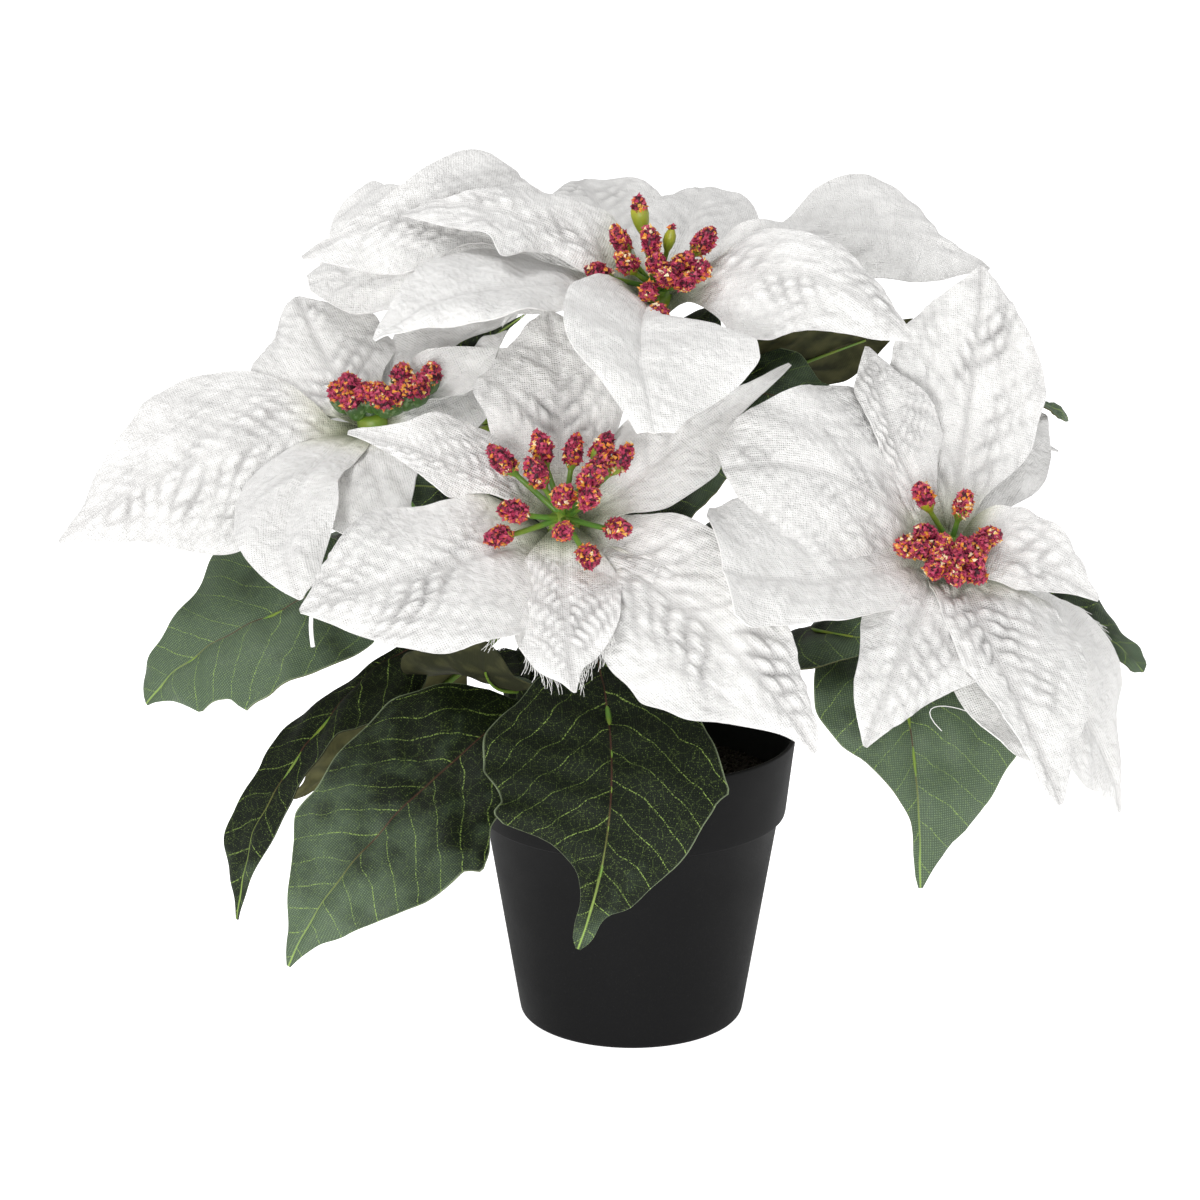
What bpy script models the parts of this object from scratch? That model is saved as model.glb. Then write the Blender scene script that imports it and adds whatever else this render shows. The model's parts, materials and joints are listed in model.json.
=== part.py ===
"""Artificial poinsettia in its pot: six cloth blooms on leafy stems set in a weighted plug.

All driving dimensions are in millimetres; the camera of the photo looks along +Y.
"""
import math
from typing import NamedTuple

import bmesh
import bpy
from mathutils import Matrix, Vector

MM = 0.001

# Pot: a 12 cm grow pot with a collar
POT_HEIGHT = 108.0
RIM_RADIUS = 60.0
COLLAR_BOTTOM = 78.5
COLLAR_RADIUS = 56.6
BODY_RADIUS = 54.2
BASE_RADIUS = 41.4
BASE_ROUND = 1.8
POT_WALL = 1.6
POT_FLOOR = 2.4
POT_STEPS = 28

# Weighted plug that fills the pot and holds the stems
FILLER_TOP = 88.0
FILLER_CROWN = 4.0
HOLE_BOTTOM = 40.0
TOUCH_GAP = 0.3

# Stems, hubs and the little flowers
STEM_RADIUS = 2.3
HUB_RADIUS = 7.0
HUB_HEIGHT = 9.0
CLUSTER_RADIUS = 4.0
CLUSTER_HEIGHT = 4.0
STALK_RADIUS = 0.95
CUP_RADIUS = 2.0
HEAD_RADIUS = 3.4
HEAD_LENGTH = 10.0

# Cloth blades
CLOTH = 0.8
MERGE = 0.00001


class Blade(NamedTuple):
    """One cloth bract or leaf, laid along a midrib through middle and tip.

    roll turns the blade about its midrib, left edge up when positive; fold lifts
    both halves of the blade; wave is the height of the ripple along the edges.
    """
    name: str
    form: str
    middle: tuple
    tip: tuple
    width: float
    roll: float = 0.0
    fold: float = 10.0
    wave: float = 2.0


class Bloom(NamedTuple):
    """One bloom: where its hub sits, the way it faces, its bracts and its heads."""
    letter: str
    hub: tuple
    faces: tuple
    hole: tuple
    bracts: tuple
    heads: tuple


class Leaf(NamedTuple):
    """One leaf: the share of the stem's length where it grows, and its blade."""
    height: float
    blade: Blade


# Share of the length, and half of the width there as a share of the full half width
OUTLINES = {
    "bract": ((0.0, 0.1), (0.15, 0.3), (0.34, 0.86), (0.52, 1.0), (0.77, 0.66), (1.0, 0.03)),
    "broad": ((0.0, 0.1), (0.14, 0.42), (0.32, 0.92), (0.55, 1.0), (0.8, 0.7), (1.0, 0.05)),
    "blunt": ((0.0, 0.1), (0.17, 0.32), (0.38, 0.82), (0.62, 1.0), (0.88, 0.9), (1.0, 0.45)),
    "inner": ((0.0, 0.16), (0.18, 0.42), (0.4, 0.96), (0.6, 0.92), (0.82, 0.5), (1.0, 0.04)),
    "leaf": ((0.0, 0.04), (0.16, 0.05), (0.24, 0.66), (0.38, 0.98), (0.53, 0.84),
             (0.63, 0.92), (0.8, 0.42), (1.0, 0.03)),
}
COLUMNS = {"bract": 4, "broad": 4, "blunt": 4, "inner": 2, "leaf": 4}

BLOOMS = (
    Bloom("a", (8, -3, 268), (0.0, -0.5, 0.87), (0, 8), (
        Blade("left", "bract", (-56, 4, 297), (-115, -10, 284), 66, -10, 8, 3),
        Blade("left under", "bract", (-56, 24, 274), (-114, 26, 269), 44, 4),
        Blade("left back", "bract", (-48, 36, 293), (-98, 42, 302), 46),
        Blade("left front", "bract", (-47, -42, 280), (-86, -70, 268), 50, 6),
        Blade("front", "broad", (4, -60, 269), (6, -105, 243), 74, -10, 24, 3),
        Blade("right front", "bract", (54, -34, 284), (95, -40, 261), 62, 20, 0),
        Blade("right", "bract", (74, 26, 289), (126, 20, 277), 56, 4),
        Blade("back left", "bract", (-11, 38, 294), (-20, 78, 300), 50),
        Blade("back right", "bract", (24, 38, 292), (38, 80, 292), 46),
        Blade("inner left", "inner", (-42, -10, 300), (-81, -4, 300), 42),
        Blade("inner right", "inner", (42, -2, 292), (70, 4, 299), 34),
    ), ((-12, -2, 16), (-9, 4, 18), (-4, 9, 24), (0, 1, 22), (3, -5, 20), (8, 2, 18),
        (13, 6, 18), (0, -10, 17), (5, -13, 15), (-17, -1, 13), (12, -5, 14))),
    Bloom("b", (-92, -12, 226), (-0.15, -0.3, 0.94), (-16, 4), (
        Blade("left", "bract", (-150, -30, 218), (-200, -40, 190), 72, -30),
        Blade("front", "bract", (-108, -62, 213), (-110, -108, 188), 56),
        Blade("right front", "inner", (-82, -52, 211), (-72, -82, 196), 44),
        Blade("left back", "inner", (-111, 14, 246), (-123, 44, 262), 52),
        Blade("right back", "inner", (-68, 2, 245), (-42, 18, 258), 48),
        Blade("right", "inner", (-66, -6, 233), (-40, 2, 241), 46, 10),
        Blade("back", "bract", (-95, 34, 238), (-92, 80, 232), 54),
        Blade("far left", "bract", (-135, 22, 222), (-168, 48, 205), 54),
    ), ((-12, -2, 8), (-6, -8, 8), (0, -2, 9), (5, -9, 9), (10, -2, 11), (15, -7, 11),
        (20, -1, 13), (-4, 5, 9), (6, 5, 11), (16, 6, 13))),
    Bloom("c", (-24, -72, 203), (0.0, -0.64, 0.77), (-4, -16), (
        Blade("left front", "bract", (-66, -112, 199), (-108, -130, 190), 60),
        Blade("right front", "bract", (22, -112, 181), (58, -132, 143), 62),
        Blade("right back", "bract", (18, -58, 231), (54, -30, 251), 48),
        Blade("back", "bract", (-26, -48, 243), (-30, -20, 268), 52),
        Blade("inner left", "inner", (-62, -72, 222), (-96, -72, 236), 40),
        Blade("inner front", "inner", (-23, -112, 185), (-20, -140, 166), 42),
    ), ((-19, 15, 11), (-6, 16, 14), (3, 18, 12), (12, 17, 12), (17, 12, 12), (20, 17, 8),
        (9, 5, 16), (0, 3, 18), (-14, -1, 15), (-20, -10, 13), (2, -8, 20), (18, -7, 12),
        (9, -17, 13))),
    Bloom("d", (108, -44, 187), (0.25, -0.6, 0.76), (16, -8), (
        Blade("under", "bract", (112, -82, 148), (130, -94, 120), 36),
        Blade("far right", "bract", (153, -50, 144), (173, -44, 92), 54),
        Blade("back", "bract", (118, -22, 238), (123, 0, 280), 58),
        Blade("left", "broad", (68, -66, 219), (29, -80, 225), 68, -6),
        Blade("left front", "blunt", (64, -90, 191), (28, -114, 200), 50),
        Blade("right front", "bract", (123, -100, 160), (140, -120, 121), 58),
        Blade("front", "bract", (90, -95, 168), (75, -120, 141), 50),
        Blade("right back", "bract", (130, -6, 213), (151, 22, 222), 38),
        Blade("inner back", "inner", (95, -30, 224), (82, -12, 254), 36),
        Blade("inner right", "inner", (136, -60, 188), (158, -62, 175), 42),
    ), ((-11, 13, 14), (0, 14, 12), (-13, -2, 14), (-6, 0, 18), (1, 2, 16), (8, 0, 15),
        (-9, -9, 16), (-1, -9, 18), (6, -8, 15), (0, -15, 14), (10, 8, 10))),
    Bloom("e", (65, 65, 191), (0.2, 0.25, 0.95), (12, 12), (
        Blade("right", "bract", (115, 68, 197), (160, 70, 179), 58, 12),
        Blade("right back", "bract", (98, 106, 195), (125, 148, 178), 58, 12),
        Blade("back", "bract", (64, 118, 193), (68, 166, 176), 60, 12),
        Blade("left back", "bract", (36, 100, 198), (20, 132, 184), 54, 12),
        Blade("inner right", "inner", (94, 54, 203), (118, 44, 211), 40),
        Blade("inner back", "inner", (84, 96, 200), (100, 120, 206), 38),
        Blade("inner left", "inner", (45, 88, 202), (32, 108, 210), 36),
    ), ((-13, 2, 12), (-6, -6, 14), (7, -4, 14), (13, 4, 12), (-6, 11, 12), (6, 12, 11),
        (1, -12, 12), (0, 2, 17))),
    Bloom("f", (-52, 68, 204), (-0.18, 0.25, 0.95), (-12, 14), (
        Blade("left", "bract", (-98, 82, 210), (-140, 90, 198), 58, 12),
        Blade("left back", "bract", (-84, 112, 208), (-114, 154, 190), 58, 12),
        Blade("back", "bract", (-46, 120, 206), (-44, 168, 186), 60, 12),
        Blade("right back", "bract", (-20, 104, 214), (-4, 142, 208), 54, 12),
        Blade("inner front", "inner", (-36, 46, 221), (-22, 32, 234), 38),
        Blade("inner back", "inner", (-63, 100, 212), (-72, 124, 220), 38),
        Blade("inner right", "inner", (-29, 88, 214), (-13, 102, 224), 36),
    ), ((-12, 0, 12), (-7, 8, 13), (0, -7, 14), (7, 5, 14), (13, -2, 11), (-6, -11, 11),
        (5, 12, 12), (0, 1, 17))),
)

LEAVES = {
    "a": (
        Leaf(0.72, Blade("under right", "leaf", (42, -8, 236), (78, -24, 236), 50, 35)),
        Leaf(0.66, Blade("right back", "leaf", (52, 20, 234), (92, 22, 244), 40, 35)),
    ),
    "b": (
        Leaf(0.55, Blade("left", "leaf", (-133, -34, 160), (-172, -40, 131), 62, -32)),
        Leaf(0.42, Blade("low left", "leaf", (-113, -42, 122), (-139, -52, 58), 44, -8)),
        Leaf(0.36, Blade("under", "leaf", (-80, -8, 126), (-116, -8, 92), 44, -25)),
        Leaf(0.6, Blade("back left", "leaf", (-118, 26, 172), (-162, 44, 142), 52)),
    ),
    "c": (
        Leaf(0.4, Blade("low left", "leaf", (-79, -90, 109), (-117, -110, 60), 74, -32)),
        Leaf(0.6, Blade("low front", "leaf", (-8, -122, 134), (-19, -145, 80), 86)),
        Leaf(0.45, Blade("under", "leaf", (-38, -28, 150), (-66, -34, 136), 46, -30)),
        Leaf(0.8, Blade("high left", "leaf", (-48, -36, 198), (-72, -20, 204), 30, -30)),
        Leaf(0.78, Blade("high right", "leaf", (14, -44, 208), (38, -50, 223), 32, 30)),
    ),
    "d": (
        Leaf(0.66, Blade("low front", "leaf", (95, -68, 132), (99, -78, 76), 60)),
        Leaf(0.55, Blade("middle", "leaf", (60, -46, 160), (86, -60, 168), 38, 35)),
        Leaf(0.75, Blade("right", "leaf", (150, -14, 158), (183, -20, 137), 44, 30)),
    ),
    "e": (
        Leaf(0.75, Blade("right", "leaf", (112, 24, 190), (160, 28, 211), 28)),
        Leaf(0.5, Blade("back", "leaf", (62, 100, 160), (76, 148, 112), 60)),
        Leaf(0.42, Blade("low right", "leaf", (94, 58, 148), (144, 74, 106), 58)),
    ),
    "f": (
        Leaf(0.5, Blade("back", "leaf", (-48, 104, 160), (-58, 152, 108), 60)),
        Leaf(0.56, Blade("left", "leaf", (-98, 66, 168), (-146, 82, 132), 56)),
        Leaf(0.4, Blade("right back", "leaf", (0, 76, 150), (6, 126, 106), 52)),
    ),
}


def clear_scene():
    """Remove the start-up objects and collections."""
    for item in list(bpy.data.objects):
        bpy.data.objects.remove(item)
    for group in list(bpy.data.collections):
        bpy.data.collections.remove(group)


def plain_material(name, colour, roughness):
    """Return a Principled material with the given colour and roughness."""
    material = bpy.data.materials.new(name)
    material.use_nodes = True
    shader = material.node_tree.nodes["Principled BSDF"]
    shader.inputs["Base Color"].default_value = (*colour, 1.0)
    shader.inputs["Roughness"].default_value = roughness
    return material


def add_object(name, mesh, group):
    """Link a new object holding the mesh into the collection."""
    item = bpy.data.objects.new(name, mesh)
    group.objects.link(item)
    return item


def evaluated_mesh(item):
    """Return the object's mesh with its modifiers applied."""
    graph = bpy.context.evaluated_depsgraph_get()
    return bpy.data.meshes.new_from_object(item.evaluated_get(graph), depsgraph=graph)


def apply_modifiers(item):
    """Swap the object's mesh for the evaluated one and drop its modifiers."""
    mesh = evaluated_mesh(item)
    item.modifiers.clear()
    item.data = mesh


def keep_largest_shell(mesh):
    """Drop the walls of sealed hollows and loose scraps: keep the shell with most faces."""
    shape = bmesh.new()
    shape.from_mesh(mesh)
    bmesh.ops.remove_doubles(shape, verts=shape.verts, dist=MERGE)
    bmesh.ops.dissolve_degenerate(shape, edges=shape.edges, dist=MERGE)
    left = set(shape.verts)
    shells = []
    while left:
        front = [left.pop()]
        shell = set(front)
        while front:
            for edge in front.pop().link_edges:
                for vert in edge.verts:
                    if vert in left:
                        left.remove(vert)
                        shell.add(vert)
                        front.append(vert)
        shells.append(shell)
    shells.sort(key=len)
    loose = [vert for shell in shells[:-1] for vert in shell]
    bmesh.ops.delete(shape, geom=loose, context="VERTS")
    shape.to_mesh(mesh)
    shape.free()


def fuse(item, extras, group, solver="EXACT"):
    """Join the extra objects to the item in one Boolean union and remove them."""
    cutters = bpy.data.collections.new(item.name + " pieces")
    group.children.link(cutters)
    for extra in extras:
        group.objects.unlink(extra)
        cutters.objects.link(extra)
    union = item.modifiers.new("fuse", "BOOLEAN")
    union.operation = "UNION"
    union.operand_type = "COLLECTION"
    union.collection = cutters
    union.solver = solver
    apply_modifiers(item)
    keep_largest_shell(item.data)
    for extra in list(cutters.objects):
        bpy.data.objects.remove(extra)
    bpy.data.collections.remove(cutters)


def finish(item, material, angle=40.0):
    """Give the object its material and smooth shading with sharp edges kept."""
    item.data.materials.clear()
    item.data.materials.append(material)
    for face in item.data.polygons:
        face.material_index = 0
    item.data.shade_smooth()
    item.data.set_sharp_from_angle(angle=math.radians(angle))


def turned(name, profile, group, steps=POT_STEPS):
    """Spin a profile of (radius, height) pairs, top to bottom, into a closed body."""
    mesh = bpy.data.meshes.new(name)
    shape = bmesh.new()
    points = [shape.verts.new((radius * MM, 0.0, height * MM)) for radius, height in profile]
    for first, second in zip(points, points[1:]):
        shape.edges.new((first, second))
    shape.to_mesh(mesh)
    shape.free()
    item = add_object(name, mesh, group)
    screw = item.modifiers.new("turn", "SCREW")
    screw.steps = steps
    screw.render_steps = steps
    screw.use_merge_vertices = True
    screw.merge_threshold = MERGE
    screw.use_normal_calculate = True
    apply_modifiers(item)
    return item


def tube(name, points, radii, group, resolution=1):
    """Sweep a round section along the points, with a radius at each, capped."""
    curve = bpy.data.curves.new(name, "CURVE")
    curve.dimensions = "3D"
    curve.bevel_mode = "ROUND"
    curve.bevel_depth = MM
    curve.bevel_resolution = resolution
    curve.use_fill_caps = True
    spline = curve.splines.new("POLY")
    spline.points.add(len(points) - 1)
    for slot, point, radius in zip(spline.points, points, radii):
        slot.co = (*(Vector(point) * MM), 1.0)
        slot.radius = radius
    holder = bpy.data.objects.new(name, curve)
    group.objects.link(holder)
    mesh = evaluated_mesh(holder)
    bpy.data.objects.remove(holder)
    shape = bmesh.new()
    shape.from_mesh(mesh)
    bmesh.ops.remove_doubles(shape, verts=shape.verts, dist=MERGE)
    bmesh.ops.recalc_face_normals(shape, faces=shape.faces)
    shape.to_mesh(mesh)
    shape.free()
    return add_object(name, mesh, group)


def drum(name, centre, along, radius, height, group, sides=12):
    """Add a short closed cylinder centred on a point, its axis along a direction."""
    mesh = bpy.data.meshes.new(name)
    shape = bmesh.new()
    turn = Vector((0, 0, 1)).rotation_difference(Vector(along)).to_matrix().to_4x4()
    place = Matrix.Translation(Vector(centre) * MM) @ turn
    bmesh.ops.create_cone(shape, cap_ends=True, segments=sides, radius1=radius * MM,
                          radius2=radius * MM, depth=height * MM, matrix=place)
    shape.to_mesh(mesh)
    shape.free()
    return add_object(name, mesh, group)


def arc_point(root, middle, tip, share):
    """Point on the quadratic arc from root to tip that passes through middle."""
    pull = middle * 2.0 - (root + tip) * 0.5
    return root * (1 - share) ** 2 + pull * (2 * share * (1 - share)) + tip * share ** 2


def arc_heading(root, middle, tip, share):
    """Unit direction of travel along the same arc."""
    pull = middle * 2.0 - (root + tip) * 0.5
    return ((pull - root) * (1 - share) + (tip - pull) * share).normalized()


def outline_width(form, share):
    """Half width at a share of the length, as a share of the full half width."""
    rows = OUTLINES[form]
    for (low, low_width), (high, high_width) in zip(rows, rows[1:]):
        if share <= high:
            return low_width + (high_width - low_width) * (share - low) / (high - low)
    return rows[-1][1]


def blade_point(blade, root, up, share, across):
    """Place a point of the blade: share runs root to tip, across from -1 to 1."""
    middle, tip = Vector(blade.middle), Vector(blade.tip)
    heading = arc_heading(root, middle, tip, share)
    left = up.cross(tip - root)
    left = (left - heading * left.dot(heading)).normalized()
    normal = heading.cross(left)
    roll = math.radians(blade.roll)
    left, normal = (left * math.cos(roll) + normal * math.sin(roll),
                    normal * math.cos(roll) - left * math.sin(roll))
    reach = abs(across) * blade.width * 0.5 * outline_width(blade.form, share)
    lift = math.radians(blade.fold)
    ripple = blade.wave * across ** 2 * math.sin(share * 11.0 + (2.0 if across > 0 else 0.0))
    camber = -0.18 * reach * abs(across)
    side = math.copysign(reach * math.cos(lift), across) if across else 0.0
    rise = reach * math.sin(lift) + camber + ripple * min(1.0, reach / 12.0)
    return arc_point(root, middle, tip, share) + left * side + normal * rise


def cloth_blade(name, blade, root, up, group):
    """Build one blade: a grid laid on the blade's surface, thickened to cloth."""
    rows = [share for share, _ in OUTLINES[blade.form]]
    columns = COLUMNS[blade.form]
    mesh = bpy.data.meshes.new(name)
    shape = bmesh.new()
    bmesh.ops.create_grid(shape, x_segments=len(rows) - 1, y_segments=columns, size=1.0)
    for vert in shape.verts:
        share = rows[round((vert.co.x + 1.0) * 0.5 * (len(rows) - 1))]
        vert.co = blade_point(blade, root, up, share, vert.co.y) * MM
    bmesh.ops.triangulate(shape, faces=shape.faces, quad_method="SHORT_EDGE")
    shape.to_mesh(mesh)
    shape.free()
    item = add_object(name, mesh, group)
    cloth = item.modifiers.new("cloth", "SOLIDIFY")
    cloth.thickness = CLOTH * MM
    cloth.offset = 0.0
    apply_modifiers(item)
    return item


def bract_root(bloom, blade):
    """Where a bract leaves the hub: in order from the lowest up."""
    axis = Vector(bloom.faces).normalized()
    hub = Vector(bloom.hub)
    out = Vector(blade.middle) - hub
    out = (out - axis * out.dot(axis)).normalized()
    order = bloom.bracts.index(blade) / (len(bloom.bracts) - 1)
    return hub + out * (HUB_RADIUS - 3.5) + axis * (HUB_HEIGHT - 2.0) * (order - 0.5)


def build_bracts(bloom, material, group):
    """Fuse the hub and all bracts of one bloom."""
    name = "bracts_" + bloom.letter
    axis = Vector(bloom.faces).normalized()
    hub = drum(name, bloom.hub, axis, HUB_RADIUS, HUB_HEIGHT, group)
    blades = [cloth_blade(name + " " + blade.name, blade, bract_root(bloom, blade), axis, group)
              for blade in bloom.bracts]
    fuse(hub, blades, group)
    finish(hub, material)
    return hub


def face_frame(axis):
    """Right and up directions on the face of a bloom that looks along the axis."""
    right = Vector((1.0, 0.0, 0.0))
    right = (right - axis * right.dot(axis)).normalized()
    return right, axis.cross(right)


def build_cyathia(bloom, material, group):
    """Fuse the stalks, cups and heads at the middle of one bloom."""
    name = "cyathia_" + bloom.letter
    axis = Vector(bloom.faces).normalized()
    right, up = face_frame(axis)
    foot = Vector(bloom.hub) + axis * (HUB_HEIGHT * 0.5 + TOUCH_GAP + CLUSTER_HEIGHT * 0.5)
    base = drum(name, foot, axis, CLUSTER_RADIUS, CLUSTER_HEIGHT, group, 8)
    stalks = []
    for number, (across, above, out) in enumerate(bloom.heads):
        end = foot + right * across + up * above + axis * out
        way = (end - foot).normalized()
        start = foot + (right * across + up * above) * 0.09
        stops = [start, end - way * HEAD_LENGTH * 0.62, end - way * HEAD_LENGTH * 0.3,
                 end + way * HEAD_LENGTH * 0.25, end + way * HEAD_LENGTH * 0.5]
        radii = [STALK_RADIUS, STALK_RADIUS, CUP_RADIUS * 1.3, HEAD_RADIUS, CUP_RADIUS]
        stalks.append(tube(f"{name} stalk {number}", stops, radii, group))
    fuse(base, stalks, group)
    finish(base, material)
    return base


def stem_path(bloom):
    """Points of a stem: straight up out of its hole, then bent to the bloom's back."""
    axis = Vector(bloom.faces).normalized()
    foot = Vector((*bloom.hole, HOLE_BOTTOM + TOUCH_GAP))
    low = Vector((*bloom.hole, FILLER_TOP + FILLER_CROWN + 4.0))
    end = Vector(bloom.hub) - axis * (HUB_HEIGHT * 0.5 + TOUCH_GAP)
    top = end - axis * 5.0
    rise = (top - low).length
    first = low + Vector((0, 0, rise * 0.35))
    second = top - axis * rise * 0.3
    points = [foot]
    for step in range(8):
        share = step / 7
        rest = 1 - share
        points.append(low * rest ** 3 + first * 3 * rest ** 2 * share
                      + second * 3 * rest * share ** 2 + top * share ** 3)
    return points + [end]


def along_path(points, share):
    """Point at a share of the free part of the stem, above its straight foot."""
    free = points[1:]
    place = share * (len(free) - 1)
    index = min(int(place), len(free) - 2)
    return free[index].lerp(free[index + 1], place - index)


def build_stem(bloom, material, group):
    """Fuse one stem with the leaves that grow on it."""
    name = "stem_" + bloom.letter
    points = stem_path(bloom)
    stem = tube(name, points, [STEM_RADIUS] * len(points), group)
    up = Vector((0, 0, 1))
    leaves = [cloth_blade(f"{name} {leaf.blade.name}", leaf.blade,
                          along_path(points, leaf.height), up, group)
              for leaf in LEAVES[bloom.letter]]
    fuse(stem, leaves, group)
    finish(stem, material)
    return stem


def build_pot(material, group):
    """Turn the pot with its collar, open at the top and flat underneath."""
    lean = (RIM_RADIUS - COLLAR_RADIUS) / (POT_HEIGHT - COLLAR_BOTTOM)
    inner_top = RIM_RADIUS - POT_WALL
    profile = (
        (0.0, POT_FLOOR), (BASE_RADIUS - POT_WALL - BASE_ROUND, POT_FLOOR),
        (BASE_RADIUS - POT_WALL, POT_FLOOR + BASE_ROUND),
        (BODY_RADIUS - POT_WALL, COLLAR_BOTTOM - 2.0),
        (COLLAR_RADIUS - POT_WALL, COLLAR_BOTTOM + 2.0),
        (inner_top, POT_HEIGHT - 0.4), (inner_top + 0.4, POT_HEIGHT),
        (RIM_RADIUS - 0.5, POT_HEIGHT), (RIM_RADIUS, POT_HEIGHT - 0.5),
        (COLLAR_RADIUS + lean * 0.8, COLLAR_BOTTOM + 0.8), (COLLAR_RADIUS - 0.6, COLLAR_BOTTOM),
        (BODY_RADIUS, COLLAR_BOTTOM - 0.6),
        (BASE_RADIUS + 0.2, BASE_ROUND + 0.4), (BASE_RADIUS - 0.9, 0.9),
        (BASE_RADIUS - BASE_ROUND, 0.0), (0.0, 0.0),
    )
    pot = turned("pot", profile, group)
    finish(pot, material, 35.0)
    return pot


def build_filler(material, group):
    """Turn the plug that fills the pot and cut a plain hole for each stem."""
    wall = POT_WALL + TOUCH_GAP
    lean = (RIM_RADIUS - COLLAR_RADIUS) / (POT_HEIGHT - COLLAR_BOTTOM)
    edge = COLLAR_RADIUS - wall + lean * (FILLER_TOP - COLLAR_BOTTOM)
    profile = (
        (0.0, FILLER_TOP + FILLER_CROWN), (edge * 0.6, FILLER_TOP + FILLER_CROWN * 0.6),
        (edge, FILLER_TOP), (COLLAR_RADIUS - wall, COLLAR_BOTTOM + 2.4),
        (BODY_RADIUS - wall, COLLAR_BOTTOM - 2.0),
        (BASE_RADIUS - wall, POT_FLOOR + BASE_ROUND),
        (BASE_RADIUS - wall - BASE_ROUND, POT_FLOOR + TOUCH_GAP),
        (0.0, POT_FLOOR + TOUCH_GAP),
    )
    filler = turned("filler", profile, group)
    holes = bpy.data.collections.new("stem holes")
    bpy.context.scene.collection.children.link(holes)
    for bloom in BLOOMS:
        centre = (*bloom.hole, HOLE_BOTTOM + 40.0)
        hole = drum("hole_" + bloom.letter, centre, (0, 0, 1), STEM_RADIUS + TOUCH_GAP + 0.1,
                    80.0, holes, 10)
        hole.hide_render = True
        hole.display_type = "WIRE"
        cut = filler.modifiers.new("hole " + bloom.letter, "BOOLEAN")
        cut.operation = "DIFFERENCE"
        cut.object = hole
        cut.solver = "EXACT"
    finish(filler, material)
    return filler


def main():
    """Build every node of the plant."""
    clear_scene()
    group = bpy.data.collections.new("poinsettia")
    bpy.context.scene.collection.children.link(group)
    plastic = plain_material("matt black plastic", (0.02, 0.02, 0.021), 0.6)
    plug = plain_material("dark cement plug", (0.02, 0.018, 0.016), 0.9)
    white = plain_material("white bract cloth", (0.88, 0.87, 0.85), 0.8)
    green = plain_material("green leaf cloth", (0.03, 0.08, 0.035), 0.6)
    crumbs = plain_material("crumb coated heads", (0.3, 0.02, 0.05), 0.7)
    build_pot(plastic, group)
    build_filler(plug, group)
    for bloom in BLOOMS:
        build_stem(bloom, green, group)
        build_bracts(bloom, white, group)
        build_cyathia(bloom, crumbs, group)


main()
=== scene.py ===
"""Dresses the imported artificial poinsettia.

White embossed cloth blooms with crumb coated flower heads, printed green cloth leaves
on plastic covered stems, a dark cast plug and a moulded black pot, on a pale floor.
Lengths are in millimetres until a mesh is made.
"""

from __future__ import annotations

import json
import logging
import math
import sys
from collections.abc import Callable
from dataclasses import dataclass, field
from enum import Enum
from functools import partial

import bpy
import numpy as np
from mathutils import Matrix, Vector

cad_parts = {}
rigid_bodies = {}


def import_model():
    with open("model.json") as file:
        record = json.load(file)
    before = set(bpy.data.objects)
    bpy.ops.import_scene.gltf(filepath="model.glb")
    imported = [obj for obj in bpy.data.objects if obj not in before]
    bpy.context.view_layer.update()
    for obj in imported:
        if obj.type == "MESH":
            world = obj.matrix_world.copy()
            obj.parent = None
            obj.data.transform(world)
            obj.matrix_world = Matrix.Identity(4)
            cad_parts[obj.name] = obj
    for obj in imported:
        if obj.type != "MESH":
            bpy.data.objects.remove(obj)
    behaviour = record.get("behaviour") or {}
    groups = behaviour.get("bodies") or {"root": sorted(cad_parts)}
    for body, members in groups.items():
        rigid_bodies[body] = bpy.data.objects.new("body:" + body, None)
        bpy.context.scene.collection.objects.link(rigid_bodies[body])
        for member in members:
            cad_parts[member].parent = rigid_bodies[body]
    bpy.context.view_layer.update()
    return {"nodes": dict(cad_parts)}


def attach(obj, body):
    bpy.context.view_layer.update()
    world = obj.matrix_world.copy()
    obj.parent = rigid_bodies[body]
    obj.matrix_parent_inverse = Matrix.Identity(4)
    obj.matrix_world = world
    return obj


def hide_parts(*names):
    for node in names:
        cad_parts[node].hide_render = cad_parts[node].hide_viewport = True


LOG = logging.getLogger("poinsettia")
MM = 0.001
CLOTH_MAP = "cloth_mm"
SHARE_MAP = "blade_share"
TURN = 2.0 * math.pi
WHITE = (1.0, 1.0, 1.0, 1.0)

# Sizes that the solids of the frame are made to
POT_HEIGHT = 108.0
RIM_RADIUS = 60.0
COLLAR_BOTTOM = 78.5
COLLAR_RADIUS = 56.6
BODY_RADIUS = 54.2
BASE_RADIUS = 41.4
POT_WALL = 1.6
POT_FLOOR = 2.4
FILLER_TOP = 88.0
FILLER_CROWN = 4.0
HOLE_BOTTOM = 40.0
TOUCH_GAP = 0.3
STEM_RADIUS = 2.3
HUB_RADIUS = 7.0
HUB_HEIGHT = 9.0
CLUSTER_HEIGHT = 4.0
STALK_RADIUS = 0.95
HEAD_RADIUS = 3.9

# Cloth of the bracts and leaves, and the grid cells it is drawn with
CLOTH = 0.55
FRONT_CELL = 1.4
BACK_CELL = 2.4
FINE_CELL = 0.9
LEAF_CELL = 1.8

# Half widths at the root, at the end of a leaf's stalk and at the tip
ROOT_HALF = 4.5
STALK_END = (0.16, 3)
TIP_HALF = 0.8

# Shares of the length over which a tooth of the cut edge rises and falls
TOOTH_RISE = 0.09
TOOTH_FALL = 0.03

# How far both halves of a blade droop at the edge, as a share of the half width
DROOP = 0.18

# Embossed ridges: slant, bend and stagger beside the midrib, and spacing of the dents on them
RIDGE_SLANT = 0.85
RIDGE_BEND = 0.005
RIDGE_STAGGER = 0.35
DENT_SPACING = 4.6

Adder = Callable[..., bpy.types.Node]


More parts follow.
